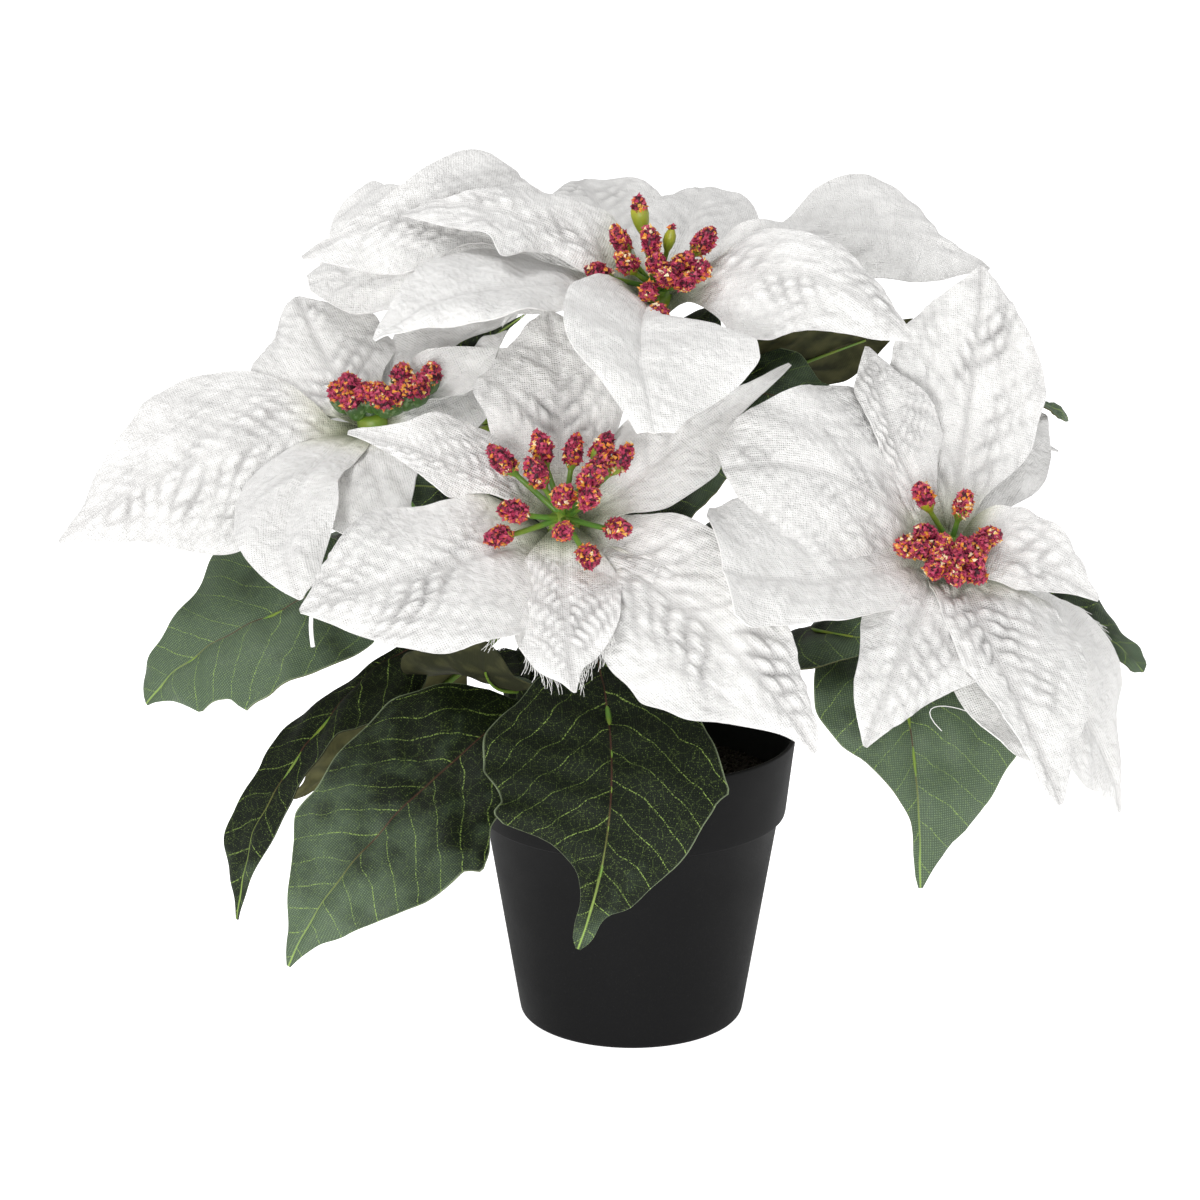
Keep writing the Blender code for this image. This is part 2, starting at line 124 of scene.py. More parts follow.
class Cut(Enum):
    """Outline a blade is cut to: share of the length, and half width as a share of the full one."""

    BRACT = ((0.0, 0.1), (0.08, 0.16), (0.15, 0.32), (0.24, 0.62), (0.34, 0.86), (0.43, 0.97),
             (0.52, 1.0), (0.64, 0.88), (0.77, 0.64), (0.9, 0.3), (1.0, 0.03))
    BROAD = ((0.0, 0.1), (0.07, 0.22), (0.14, 0.45), (0.22, 0.72), (0.32, 0.92), (0.44, 1.0),
             (0.55, 1.0), (0.67, 0.9), (0.8, 0.67), (0.92, 0.32), (1.0, 0.05))
    BLUNT = ((0.0, 0.1), (0.08, 0.18), (0.17, 0.34), (0.27, 0.6), (0.38, 0.82), (0.5, 0.96),
             (0.62, 1.0), (0.76, 0.99), (0.88, 0.9), (0.96, 0.68), (1.0, 0.42))
    INNER = ((0.0, 0.16), (0.09, 0.24), (0.18, 0.44), (0.29, 0.76), (0.4, 0.96), (0.5, 1.0),
             (0.6, 0.92), (0.72, 0.72), (0.82, 0.48), (0.93, 0.18), (1.0, 0.04))
    LEAF = ((0.0, 0.04), (0.16, 0.05), (0.18, 0.2), (0.24, 0.66), (0.31, 0.9), (0.38, 0.98),
            (0.46, 0.93), (0.53, 0.88), (0.63, 0.86), (0.72, 0.66), (0.8, 0.42), (0.88, 0.22),
            (0.95, 0.13), (1.0, 0.05))

    @property
    def relief(self) -> Relief:
        """Embossing of a blade for which no other is given."""
        return Relief.LEAF if self is Cut.LEAF else Relief.QUILTED


class Relief(Enum):
    """Embossing: spacing of the side ridges, then height of ridges, puckers, dents, billows."""

    QUILTED = (8.0, 0.9, 0.25, 0.75, 0.7)
    VEINED = (8.2, 1.7, 0.25, 0.8, 0.8)
    HERRINGBONE = (7.4, 1.7, 0.25, 1.0, 0.7)
    PLAIN = (9.5, 0.35, 0.16, 0.2, 1.0)
    BUMPED = (4.6, 1.1, 0.1, 1.1, 0.4)
    LEAF = (12.5, 0.4, 0.05, 0.0, 1.2)


@dataclass(frozen=True)
class Cup:
    """Shape of one kind of flower head, in millimetres.

    neck is how far below the head's end its stalk stops, rise and flare are heights and
    radii of the cup, thin is how yellow it is, sunk how deep the core of glue sits in it,
    and core the length and radius of that. None leaves a value to chance.
    """

    neck: float = 5.2
    rise: tuple[float, ...] = (0.6, 1.6, 2.8, 4.2, 5.4, 6.0)
    flare: tuple[float, ...] = (1.15, 1.75, 2.35, 2.75, 2.85, 2.6)
    thin: float | None = None
    sunk: float = 4.0
    core: tuple[float, float] | None = None


class HeadKind(Enum):
    """Kinds of flower heads: crumbed, in a tall cup, bare bud, ochre cup, dark ribbed cup."""

    CRUMBED = Cup()
    TALL = Cup(8.5, (0.8, 2.6, 5.2, 7.8, 9.8, 10.4), (1.2, 2.0, 2.8, 3.2, 3.0, 2.5), 0.85,
               core=(8.6, 2.5))
    BUD = Cup(8.5, (0.8, 2.2, 4.4, 6.6, 8.6, 9.8), (1.1, 1.7, 2.2, 2.1, 1.3, 0.5), 0.95, 1.4,
              (2.4, 0.8))
    OCHRE = Cup(thin=1.0)
    COMB = Cup(6.0, (0.4, 1.4, 3.0, 5.0, 6.4, 7.0), (1.7, 2.8, 3.4, 3.7, 3.8, 3.5), -0.95, 2.4,
               (7.6, 4.1))


class Side(Enum):
    """Half of a blade, by the sign of the distance across it."""

    RIGHT = -1
    LEFT = 1


@dataclass(frozen=True)
class Blade:
    """One cut piece of cloth, laid along a midrib through middle and tip.

    roll turns it about its midrib, left edge up when positive; fold lifts both halves, less
    so towards the tip by opens; wave ripples the edges and ruffle crumples them. left and
    right give shares of the length and half widths in millimetres where a side's cut is
    listed. teeth are places and heights of points on an edge, and frayed are stretches with
    loose threads. The name says where it grows.
    """

    name: str
    cut: Cut
    middle: tuple[float, float, float]
    tip: tuple[float, float, float]
    width: float
    roll: float = 0.0
    fold: float = 10.0
    wave: float = 2.0
    relief: Relief | None = None
    ruffle: float = 0.5
    teeth: tuple[tuple[Side, float, float], ...] = ()
    frayed: tuple[tuple[Side, float, float], ...] = ()
    opens: float = 0.0
    left: tuple[tuple[float, float], ...] = ()
    right: tuple[tuple[float, float], ...] = ()


@dataclass(frozen=True)
class Leaf:
    """A leaf, the share of the stem's free length where it grows, and its painted shade, which is
    painted sheen where below zero and above zero also dulls its gloss.
    """

    height: float
    blade: Blade
    dye: float = 0.0


def linear(code: str) -> tuple[float, float, float, float]:
    """Turn an sRGB hex colour into linear red, green, blue and alpha.

    Args:
        code: Six hex digits with a leading hash.

    Returns:
        The four channels as Blender's sockets take them.
    """
    values = [int(code[place:place + 2], 16) / 255.0 for place in (1, 3, 5)]
    return (*(v / 12.92 if v <= 0.04045 else ((v + 0.055) / 1.055) ** 2.4 for v in values), 1.0)


def feed(tree: bpy.types.NodeTree, node: bpy.types.Node, inputs: dict) -> None:
    """Give a node's inputs their values and links.

    Args:
        tree: The node tree.
        node: The node.
        inputs: By name or index: a value, a socket to link from, or a node to link from
            by its first output in use.
    """
    for place, value in inputs.items():
        if isinstance(value, bpy.types.Node):
            value = next(socket for socket in value.outputs if socket.enabled)
        if isinstance(value, bpy.types.NodeSocket):
            tree.links.new(value, node.inputs[place])
        else:
            node.inputs[place].default_value = value


def add_node(tree: bpy.types.NodeTree, kind: str, inputs: dict | None = None,
             **settings: object) -> bpy.types.Node:
    """Add a node with its settings, its values and its links.

    Args:
        tree: The node tree that takes the node.
        kind: Blender's name for the type of node.
        inputs: What feeds its inputs, by name or index.
        settings: Properties of the node.

    Returns:
        The new node.
    """
    node = tree.nodes.new(kind)
    for name, value in settings.items():
        setattr(node, name, value)
    feed(tree, node, inputs or {})
    return node


def new_material(name: str, dials: dict) -> tuple[bpy.types.Material, Adder, Callable[[dict], None]]:
    """Start a material on one Principled shader.

    Args:
        name: Name of the material.
        dials: The values that are the same all over its surface, by the shader's input.

    Returns:
        The material, what adds a node to it, and what feeds its shader.
    """
    material = bpy.data.materials.new(name)
    material.use_nodes = True
    tree = material.node_tree
    shader = tree.nodes["Principled BSDF"]
    feed(tree, shader, dials)
    return material, partial(add_node, tree), partial(feed, tree, shader)


def unit(vectors: np.ndarray) -> np.ndarray:
    """Scale vectors along the last axis to length 1."""
    return vectors / np.maximum(np.linalg.norm(vectors, axis=-1, keepdims=True), 1e-9)


def smooth(values: np.ndarray) -> np.ndarray:
    """Ease values from 0 to 1 and hold them outside that range."""
    held = np.clip(values, 0.0, 1.0)
    return held * held * (3.0 - 2.0 * held)


def drift(seed: int, *coords: np.ndarray) -> np.ndarray:
    """Give a smooth wandering value between about -1 and 1.

    Args:
        seed: Chooses the waves; the same seed gives the same values.
        coords: Coordinates in units of the wanted wander.

    Returns:
        One value for each place.
    """
    random = np.random.default_rng(seed)
    total = 0.0
    for _ in range(6):
        pace = random.normal(size=len(coords)) * 1.6
        total = total + np.sin(sum(p * c for p, c in zip(pace, coords)) + random.uniform(0.0, 6.28))
    return total / 3.0


def through(stations: tuple[tuple[float, float], ...], places: np.ndarray) -> np.ndarray:
    """Read a smooth curve through the stations that never swings past them.

    Args:
        stations: Place and value of each station, in order.
        places: Where the curve is read.

    Returns:
        The value at each place.
    """
    x, y = np.array(stations).T
    step = np.diff(x)
    rise = np.diff(y) / step
    slope = np.concatenate(([rise[0]], np.where(rise[:-1] * rise[1:] > 0.0,
                            2.0 * rise[:-1] * rise[1:] / (rise[:-1] + rise[1:] + 1e-12), 0.0),
                            [rise[-1]]))
    part = np.clip(np.searchsorted(x, places) - 1, 0, len(step) - 1)
    t = (places - x[part]) / step[part]
    low, high, span = y[part], y[part + 1], step[part]
    return (low * (2 * t ** 3 - 3 * t ** 2 + 1) + high * (3 * t ** 2 - 2 * t ** 3)
            + slope[part] * span * (t ** 3 - 2 * t ** 2 + t)
            + slope[part + 1] * span * (t ** 3 - t ** 2))


@dataclass
class MeshParts:
    """Gathers loose parts of one piece before they become a single mesh."""

    points: list[np.ndarray] = field(default_factory=list)
    faces: list[tuple[int, ...]] = field(default_factory=list)
    slots: list[int] = field(default_factory=list)
    cloth: list[np.ndarray] = field(default_factory=list)
    share: list[np.ndarray] = field(default_factory=list)
    extras: dict[str, list[np.ndarray]] = field(default_factory=dict)
    count: int = 0

    def add(self, points: np.ndarray, faces: list[tuple[int, ...]], slot: int,
            cloth: np.ndarray | None = None, share: np.ndarray | None = None,
            **extras: np.ndarray | float) -> None:
        """Add one part.

        Args:
            points: Its points in millimetres, one row each.
            faces: Its faces by point number, turned outwards.
            slot: The material slot of its faces.
            cloth: Millimetres along and across the cloth at each point.
            share: Shares of the length and of the width at each point.
            extras: Values kept as point attributes, one for each point or one for all.
        """
        size = len(points)
        self.faces += [tuple(number + self.count for number in face) for face in faces]
        self.slots += [slot] * len(faces)
        self.points.append(points)
        self.cloth.append(np.zeros((size, 2)) if cloth is None else cloth)
        self.share.append(np.zeros((size, 2)) if share is None else share)
        for name in set(self.extras) | set(extras):
            rows = self.extras.setdefault(name, [np.zeros(self.count)] if self.count else [])
            rows.append(np.broadcast_to(extras.get(name, 0.0), (size,)))
        self.count += size

    def to_object(self, name: str, materials: list[bpy.types.Material],
                  angle: float = 50.0) -> bpy.types.Object:
        """Make the mesh object, with its maps, attributes and materials.

        Args:
            name: Name of the object.
            materials: One material for each slot number used.
            angle: Degrees past which an edge stays sharp.

        Returns:
            The object, linked to the scene.
        """
        mesh = bpy.data.meshes.new(name)
        mesh.from_pydata((np.concatenate(self.points) * MM).tolist(), [], self.faces)
        corner = np.empty(len(mesh.loops), dtype=np.int32)
        mesh.loops.foreach_get("vertex_index", corner)
        for layer, rows in ((CLOTH_MAP, self.cloth), (SHARE_MAP, self.share)):
            target = mesh.uv_layers.new(name=layer)
            target.uv.foreach_set("vector", np.concatenate(rows)[corner].ravel().astype(np.float32))
        for key, rows in self.extras.items():
            target = mesh.attributes.new(key, "FLOAT", "POINT")
            target.data.foreach_set("value", np.concatenate(rows).astype(np.float32))
        for material in materials:
            mesh.materials.append(material)
        mesh.polygons.foreach_set("material_index", np.array(self.slots, dtype=np.int32))
        mesh.validate()
        mesh.shade_smooth()
        mesh.set_sharp_from_angle(angle=math.radians(angle))
        item = bpy.data.objects.new(name, mesh)
        bpy.context.scene.collection.objects.link(item)
        return item


def grid_faces(rows: int, columns: int, start: int = 0, flip: bool = False,
               closed: bool = False) -> list[tuple[int, ...]]:
    """List the quads of a grid of points.

    Args:
        rows: Number of rows of points.
        columns: Number of points in each row.
        start: Number of the first point.
        flip: Whether the faces look the other way.
        closed: Whether each row runs round to its first point.

    Returns:
        Four point numbers for each face.
    """
    first = np.arange(columns if closed else columns - 1)
    second = (first + 1) % columns
    base = start + np.arange(rows - 1)[:, None] * columns
    corners = [base + first, base + columns + first, base + columns + second, base + second]
    if flip:
        corners.reverse()
    return list(map(tuple, np.stack(corners, axis=-1).reshape(-1, 4).tolist()))


def swept(path: np.ndarray, radii: np.ndarray, sides: int,
          squash: np.ndarray | None = None) -> tuple[np.ndarray, list[tuple[int, ...]]]:
    """Sweep a round section along a path and close both ends.

    Args:
        path: Points of the path.
        radii: Radius at each point.
        sides: Number of sides of the section.
        squash: Factors on the radius round the section at each point.

    Returns:
        Points and faces of the tube.
    """
    ways = unit(np.gradient(path, axis=0))
    right = np.cross(ways[0], (0.0, 0.0, 1.0) if abs(ways[0][2]) < 0.9 else (1.0, 0.0, 0.0))
    angles = np.linspace(0.0, TURN, sides, endpoint=False)
    rings = []
    for number, (point, way, radius) in enumerate(zip(path, ways, radii)):
        right = unit(right - way * right.dot(way))
        above = np.cross(way, right)
        reach = radius * (np.ones(sides) if squash is None else squash[number])
        rings.append(point + (np.cos(angles) * reach)[:, None] * right
                     + (np.sin(angles) * reach)[:, None] * above)
    faces = grid_faces(len(path), sides, flip=True, closed=True)
    last = (len(path) - 1) * sides
    faces.append(tuple(range(sides - 1, -1, -1)))
    faces.append(tuple(range(last, last + sides)))
    return np.concatenate(rings), faces


def bezier(stops: list[np.ndarray], steps: int) -> np.ndarray:
    """Read a quadratic or cubic Bezier curve.

    Args:
        stops: Its three or four control points.
        steps: Number of points wanted.

    Returns:
        The points along the curve.
    """
    t = np.linspace(0.0, 1.0, steps)[:, None]
    degree = len(stops) - 1
    return sum(math.comb(degree, number) * (1 - t) ** (degree - number) * t ** number * stop
               for number, stop in enumerate(stops))


@dataclass(frozen=True)
class ClothBlade:
    """Lays the cloth of one blade on its surface and gives it relief and thickness."""

    blade: Blade
    root: np.ndarray
    up: np.ndarray
    cell: float
    seed: int

    @property
    def arc(self) -> tuple[np.ndarray, np.ndarray, np.ndarray]:
        """Control points of the midrib, which passes through the blade's middle."""
        middle, tip = np.array(self.blade.middle, float), np.array(self.blade.tip, float)
        return self.root, middle * 2.0 - (self.root + tip) * 0.5, tip

    @property
    def length(self) -> float:
        """Length of the midrib."""
        return float(np.linalg.norm(np.diff(bezier(list(self.arc), 40), axis=0), axis=1).sum())

    def half_width(self, share: np.ndarray, across: np.ndarray) -> np.ndarray:
        """Half width of the cut cloth on the side that across lies on."""
        blade = self.blade
        side = np.sign(across)
        half = through(blade.cut.value, share) * blade.width * 0.5
        for where, stations in ((Side.LEFT, blade.left), (Side.RIGHT, blade.right)):
            if stations:
                stalk = (STALK_END,) if blade.cut is Cut.LEAF else ()
                ends = ((1.0, TIP_HALF),) if stations[-1][0] < 1.0 else ()
                half = np.where(side == where.value,
                                through(((0.0, ROOT_HALF), *stalk, *stations, *ends), share), half)
        half = half * (1.0 + 0.03 * drift(self.seed, share * 9.0, side))
        for where, place, height in blade.teeth:
            gap = share - place
            tooth = np.where(gap < 0.0, 1.0 + gap / TOOTH_RISE, 1.0 - gap / TOOTH_FALL)
            half = half + height * np.clip(tooth, 0.0, 1.0) ** 1.6 * (side == where.value)
        return half

    def surface(self, share: np.ndarray, across: np.ndarray) -> np.ndarray:
        """Find points of the blade before its relief.

        Args:
            share: Shares of the way from root to tip.
            across: Places from -1 at one edge to 1 at the other.

        Returns:
            The points, one for each pair.
        """
        blade = self.blade
        root, pull, tip = self.arc
        s = share[..., None]
        centre = root * (1 - s) ** 2 + pull * (2 * s * (1 - s)) + tip * s ** 2
        heading = unit((pull - root) * (1 - s) + (tip - pull) * s)
        left = np.cross(self.up, tip - root)
        left = unit(left - heading * (heading @ left)[..., None])
        normal = np.cross(heading, left)
        turn = np.radians(np.full_like(share, blade.roll))[..., None]
        left, normal = (left * np.cos(turn) + normal * np.sin(turn),
                        normal * np.cos(turn) - left * np.sin(turn))
        reach = np.abs(across) * self.half_width(share, across)
        lift = np.radians(blade.fold - blade.opens * share)
        ripple = blade.wave * across ** 2 * np.sin(share * 11.0 + np.where(across > 0, 2.0, 0.0))
        ruffle = blade.ruffle * np.abs(across) ** 3 * drift(self.seed + 1, share * 14.0,
                                                            np.sign(across) * 2.0)
        rise = (reach * np.sin(lift) - DROOP * reach * np.abs(across)
                + (ripple + ruffle) * np.minimum(1.0, reach / 12.0))
        side = np.sign(across) * reach * np.cos(lift)
        return centre + left * side[..., None] + normal * rise[..., None]

    def relief(self, along: np.ndarray, aside: np.ndarray, share: np.ndarray,
               across: np.ndarray) -> tuple[np.ndarray, np.ndarray]:
        """Work out the embossed height, and the painted shade that marks its hollows.

        Args:
            along: Millimetres from the root.
            aside: Millimetres from the midrib, with its sign.
            share: Shares of the length.
            across: Places across the blade.

        Returns:
            Height in millimetres, and crease, painted shade from 0 on the ridges to 1 in the hollows.
        """
        pitch, ridge, pucker, dent, billow = (self.blade.relief or self.blade.cut.relief).value
        off = np.abs(aside)
        wander = 0.3 * drift(self.seed + 2, along / 14.0, aside / 11.0)
        row = ((along - off * RIDGE_SLANT - RIDGE_BEND * off ** 2) / pitch
               + np.where(aside > 0, RIDGE_STAGGER, 0.0) + wander)
        valley = (0.5 - 0.5 * np.cos(TURN * row)) ** 2.6
        inner = 1.0 - 0.7 * smooth(np.abs(across) / 0.95)
        uneven = np.clip(0.65 + 0.75 * drift(self.seed + 4, along / 14.0, aside / 9.0), 0.05, 1.6)
        small = drift(self.seed + 3, along / 1.6, aside / 1.4)
        soft = drift(self.seed + 5, along / 8.0, aside / 6.0)
        brick = (off / DENT_SPACING + 0.5 * np.floor(row + 0.5)
                 + 0.2 * drift(self.seed + 6, along / 9.0, aside / 7.0))
        gaps = (0.5 - 0.5 * np.cos(TURN * brick)) ** 3 * (1.0 - valley)
        beside = smooth(off / 2.6)
        calm = smooth(share / 0.18) * smooth((1.0 - share) / 0.1)
        height = (ridge * (0.4 - valley) * inner * uneven
                  + (pucker * small - dent * gaps * uneven) * (1.0 - 0.5 * across ** 4)) * beside * calm
        height = height + billow * soft * calm - 0.5 * (1.0 - beside) * smooth(share / 0.1)
        # Painted shade: deeper in the valleys, dents and puckers, and along the midrib
        hollow_shade = (min(1.0, ridge) * valley * inner + 0.7 * dent * gaps) * uneven
        hollow_shade = (hollow_shade + 0.8 * pucker * np.maximum(-small, 0.0)) * beside * calm
        return height, np.clip(hollow_shade + 0.6 * min(1.0, ridge) * (1.0 - beside), 0.0, 1.0)

    def build(self, parts: MeshParts, top: int, under: int, start: float = 0.0,
              **extras: float) -> None:
        """Add the cloth to the parts, with both faces and its cut edge.

        Args:
            parts: What takes the cloth.
            top: Material slot of the upper face.
            under: Material slot of the lower face and of the edge.
            start: Share of the length where the cloth begins.
            extras: More values kept as point attributes.
        """
        rows = max(12, round(self.length * (1.0 - start) / self.cell))
        widest = self.half_width(np.linspace(0.0, 1.0, 20)[:, None], np.array([-1.0, 1.0])).max()
        columns = max(6, 2 * round(widest / self.cell))
        share, across = np.meshgrid(np.linspace(start, 1.0, rows + 1),
                                    np.linspace(-1.0, 1.0, columns + 1), indexing="ij")
        base = self.surface(share, across)
        normal = unit(np.cross(np.gradient(base, axis=0), np.gradient(base, axis=1)))
        along = share * self.length
        aside = across * self.half_width(share, across)
        # crease is painted shade in the hollows, kept for the cloth's colour
        height, crease = self.relief(along, aside, share, across)
        top_points = base + normal * (height + CLOTH * 0.5)[..., None]
        under_points = base + normal * (height - CLOTH * 0.5)[..., None]
        size = (rows + 1) * (columns + 1)
        faces = grid_faces(rows + 1, columns + 1)
        faces_under = grid_faces(rows + 1, columns + 1, size, flip=True)
        width = columns + 1
        round_edge = ([row * width for row in range(rows + 1)]
                      + [rows * width + column for column in range(1, width)]
                      + [row * width + columns for row in range(rows - 1, -1, -1)]
                      + list(range(columns - 1, 0, -1)))
        ring = list(zip(round_edge, round_edge[1:] + round_edge[:1]))
        faces_edge = [(a, a + size, b + size, b) for a, b in ring]
        cloth = np.stack([along, aside], axis=-1).reshape(-1, 2)
        shares = np.stack([share, across * 0.5 + 0.5], axis=-1).reshape(-1, 2)
        both = {"crease": np.tile(crease.ravel(), 2), **extras}
        points = np.concatenate([top_points.reshape(-1, 3), under_points.reshape(-1, 3)])
        parts.add(points, faces, top, np.tile(cloth, (2, 1)), np.tile(shares, (2, 1)), **both)
        first = parts.count - 2 * size
        more = faces_under + faces_edge
        parts.faces += [tuple(number + first for number in face) for face in more]
        parts.slots += [under] * len(more)

    def edge(self, side: Side, begin: float, end: float, step: float) -> tuple[np.ndarray, np.ndarray]:
        """Follow a stretch of the cut edge.

        Args:
            side: Which edge.
            begin: Share of the length where the stretch begins.
            end: Share of the length where it ends.
            step: Millimetres between points.

        Returns:
            Points on the edge, and the directions that loose threads take from them.
        """
        count = max(3, round(self.length * (end - begin) / step))
        share = np.linspace(begin, end, count)
        outer = self.surface(share, np.full(count, float(side.value)))
        inner = self.surface(share, np.full(count, side.value * 0.9))
        return outer, unit(unit(outer - inner) * 0.7 + unit(np.gradient(outer, axis=0)))


@dataclass(frozen=True)
class BractCloth:
    """Woven polyester cut with a hot knife and pressed between warm embossing plates.

    It gives a dry chalky white with painted grey shade in the hollows of its folds, small
    quilted bumps, a fuzzy bloom at grazing angles, a green cream stain where colour from the
    hub has crept in, and painted dark olive shade at the very roots, where the gaps round the
    hub lie in shadow.
    """

    white: str = "#F8F7F5"
    # Painted shade for the hollows of the relief, also the colour of a faint random mottle
    shade: str = "#AEACAB"
    stain: str = "#DADBAE"
    # Painted shade: dark olive over the roots, partly the green of the hub, mostly the shadow in the
    # gaps round it
    root: str = "#465029"
    # Real threads stand about 0.3 mm apart; drawn coarser, so that they show
    thread: float = 0.8

    def material(self, name: str, under: bool = False) -> bpy.types.Material:
        """Build the material.

        Args:
            name: Name of the material.
            under: Whether it is for the lower face, which is smoother.

        Returns:
            The material.
        """
        material, add, dress = new_material(name, {"Roughness": 0.88, "Specular IOR Level": 0.2,
                                                   "Sheen Weight": 0.25, "Sheen Roughness": 0.45})
        cloth = add("ShaderNodeUVMap", uv_map=CLOTH_MAP).outputs[0]
        shares = add("ShaderNodeUVMap", uv_map=SHARE_MAP).outputs[0]
        crease = add("ShaderNodeAttribute", attribute_name="crease").outputs["Fac"]
        length = add("ShaderNodeSeparateXYZ", {0: shares}).outputs[0]
        mottle = add("ShaderNodeTexNoise", {"Vector": cloth, "Scale": 0.09})
        soft = add("ShaderNodeMapRange", {0: mottle, 1: 0.35, 2: 0.75, 3: 0.0, 4: 0.16})
        # Painted shade: greyer in the hollows of the relief, plus a faint random mottle
        grey = add("ShaderNodeMath", {0: crease, 1: 0.7, 2: soft}, operation="MULTIPLY_ADD",
                   use_clamp=True)
        tone = add("ShaderNodeMix", {0: grey, 6: linear(self.white), 7: linear(self.shade)},
                   data_type="RGBA")
        near = add("ShaderNodeMapRange", {0: length, 1: 0.24, 2: 0.02, 3: 0.0, 4: 0.6},
                   interpolation_type="SMOOTHSTEP")
        stained = add("ShaderNodeMix", {0: near, 6: tone, 7: linear(self.stain)}, data_type="RGBA")
        # Painted shade darkens the roots of the bracts towards the hub
        deep = add("ShaderNodeMapRange", {0: length, 1: 0.15, 2: 0.05, 3: 0.0, 4: 0.8})
        colour = add("ShaderNodeMix", {0: deep, 6: stained, 7: linear(self.root)}, data_type="RGBA")
        weave = weave_height(add, cloth, self.thread)
        lumps = add("ShaderNodeTexNoise", {"Vector": cloth, "Scale": 0.34}, noise_dimensions="2D")
        fluff = add("ShaderNodeTexNoise", {"Vector": cloth, "Scale": 1.4, "Detail": 2.0},
                    noise_dimensions="2D")
        nap = add("ShaderNodeMath", {0: fluff, 1: 0.8, 2: weave}, operation="MULTIPLY_ADD")
        grain = add("ShaderNodeMapRange", {0: nap, 1: 0.2, 2: 1.3, 3: 0.95, 4: 1.02})
        grained = add("ShaderNodeMix", {0: 1.0, 6: colour, 7: grain}, data_type="RGBA",
                      blend_type="MULTIPLY")
        height = add("ShaderNodeMath", {0: lumps, 1: 1.5 if under else 5.5, 2: nap},
                     operation="MULTIPLY_ADD")
        bump = add("ShaderNodeBump", {"Height": height, "Distance": 0.2 * MM, "Strength": 1.0})
        dress({"Base Color": grained, "Normal": bump})
        return material


def weave_height(add: Adder, cloth: bpy.types.NodeSocket, thread: float) -> bpy.types.Node:
    """Height of a plain weave, with warp and weft at the thread spacing.

    Args:
        add: Adds a node to the material.
        cloth: Millimetres along and across the cloth.
        thread: Millimetres from thread to thread.

    Returns:
        The node that gives the height, from 0 to 1.
    """
    scale = TURN / 20.0 / thread
    warp, weft = (
        add("ShaderNodeTexWave", {"Vector": cloth, "Scale": scale, "Distortion": 0.6,
                                  "Detail Scale": 0.3}, bands_direction=way).outputs["Fac"]
        for way in "XY")
    return add("ShaderNodeMath", {0: warp, 1: weft}, operation="MULTIPLY")


@dataclass(frozen=True)
class Yarn:
    """Spun polyester yarn, pulled out of the cloth where it was cut.

    It gives a bright white with faint grey stretches and a fuzzy bloom.
    """

    white: str = "#F6F5F2"
    grey: str = "#D9D8D6"

    def material(self, name: str) -> bpy.types.Material:
        """Build the material.

        Args:
            name: Name of the material.

        Returns:
            The material.
        """
        material, add, dress = new_material(name, {"Roughness": 0.85, "Specular IOR Level": 0.2,
                                                   "Sheen Weight": 0.3})
        place = add("ShaderNodeTexCoord").outputs["Object"]
        cloud = add("ShaderNodeTexNoise", {"Vector": place, "Scale": 500.0})
        colour = add("ShaderNodeMix", {0: cloud, 6: linear(self.white), 7: linear(self.grey)},
                     data_type="RGBA")
        dress({"Base Color": colour})
        return material


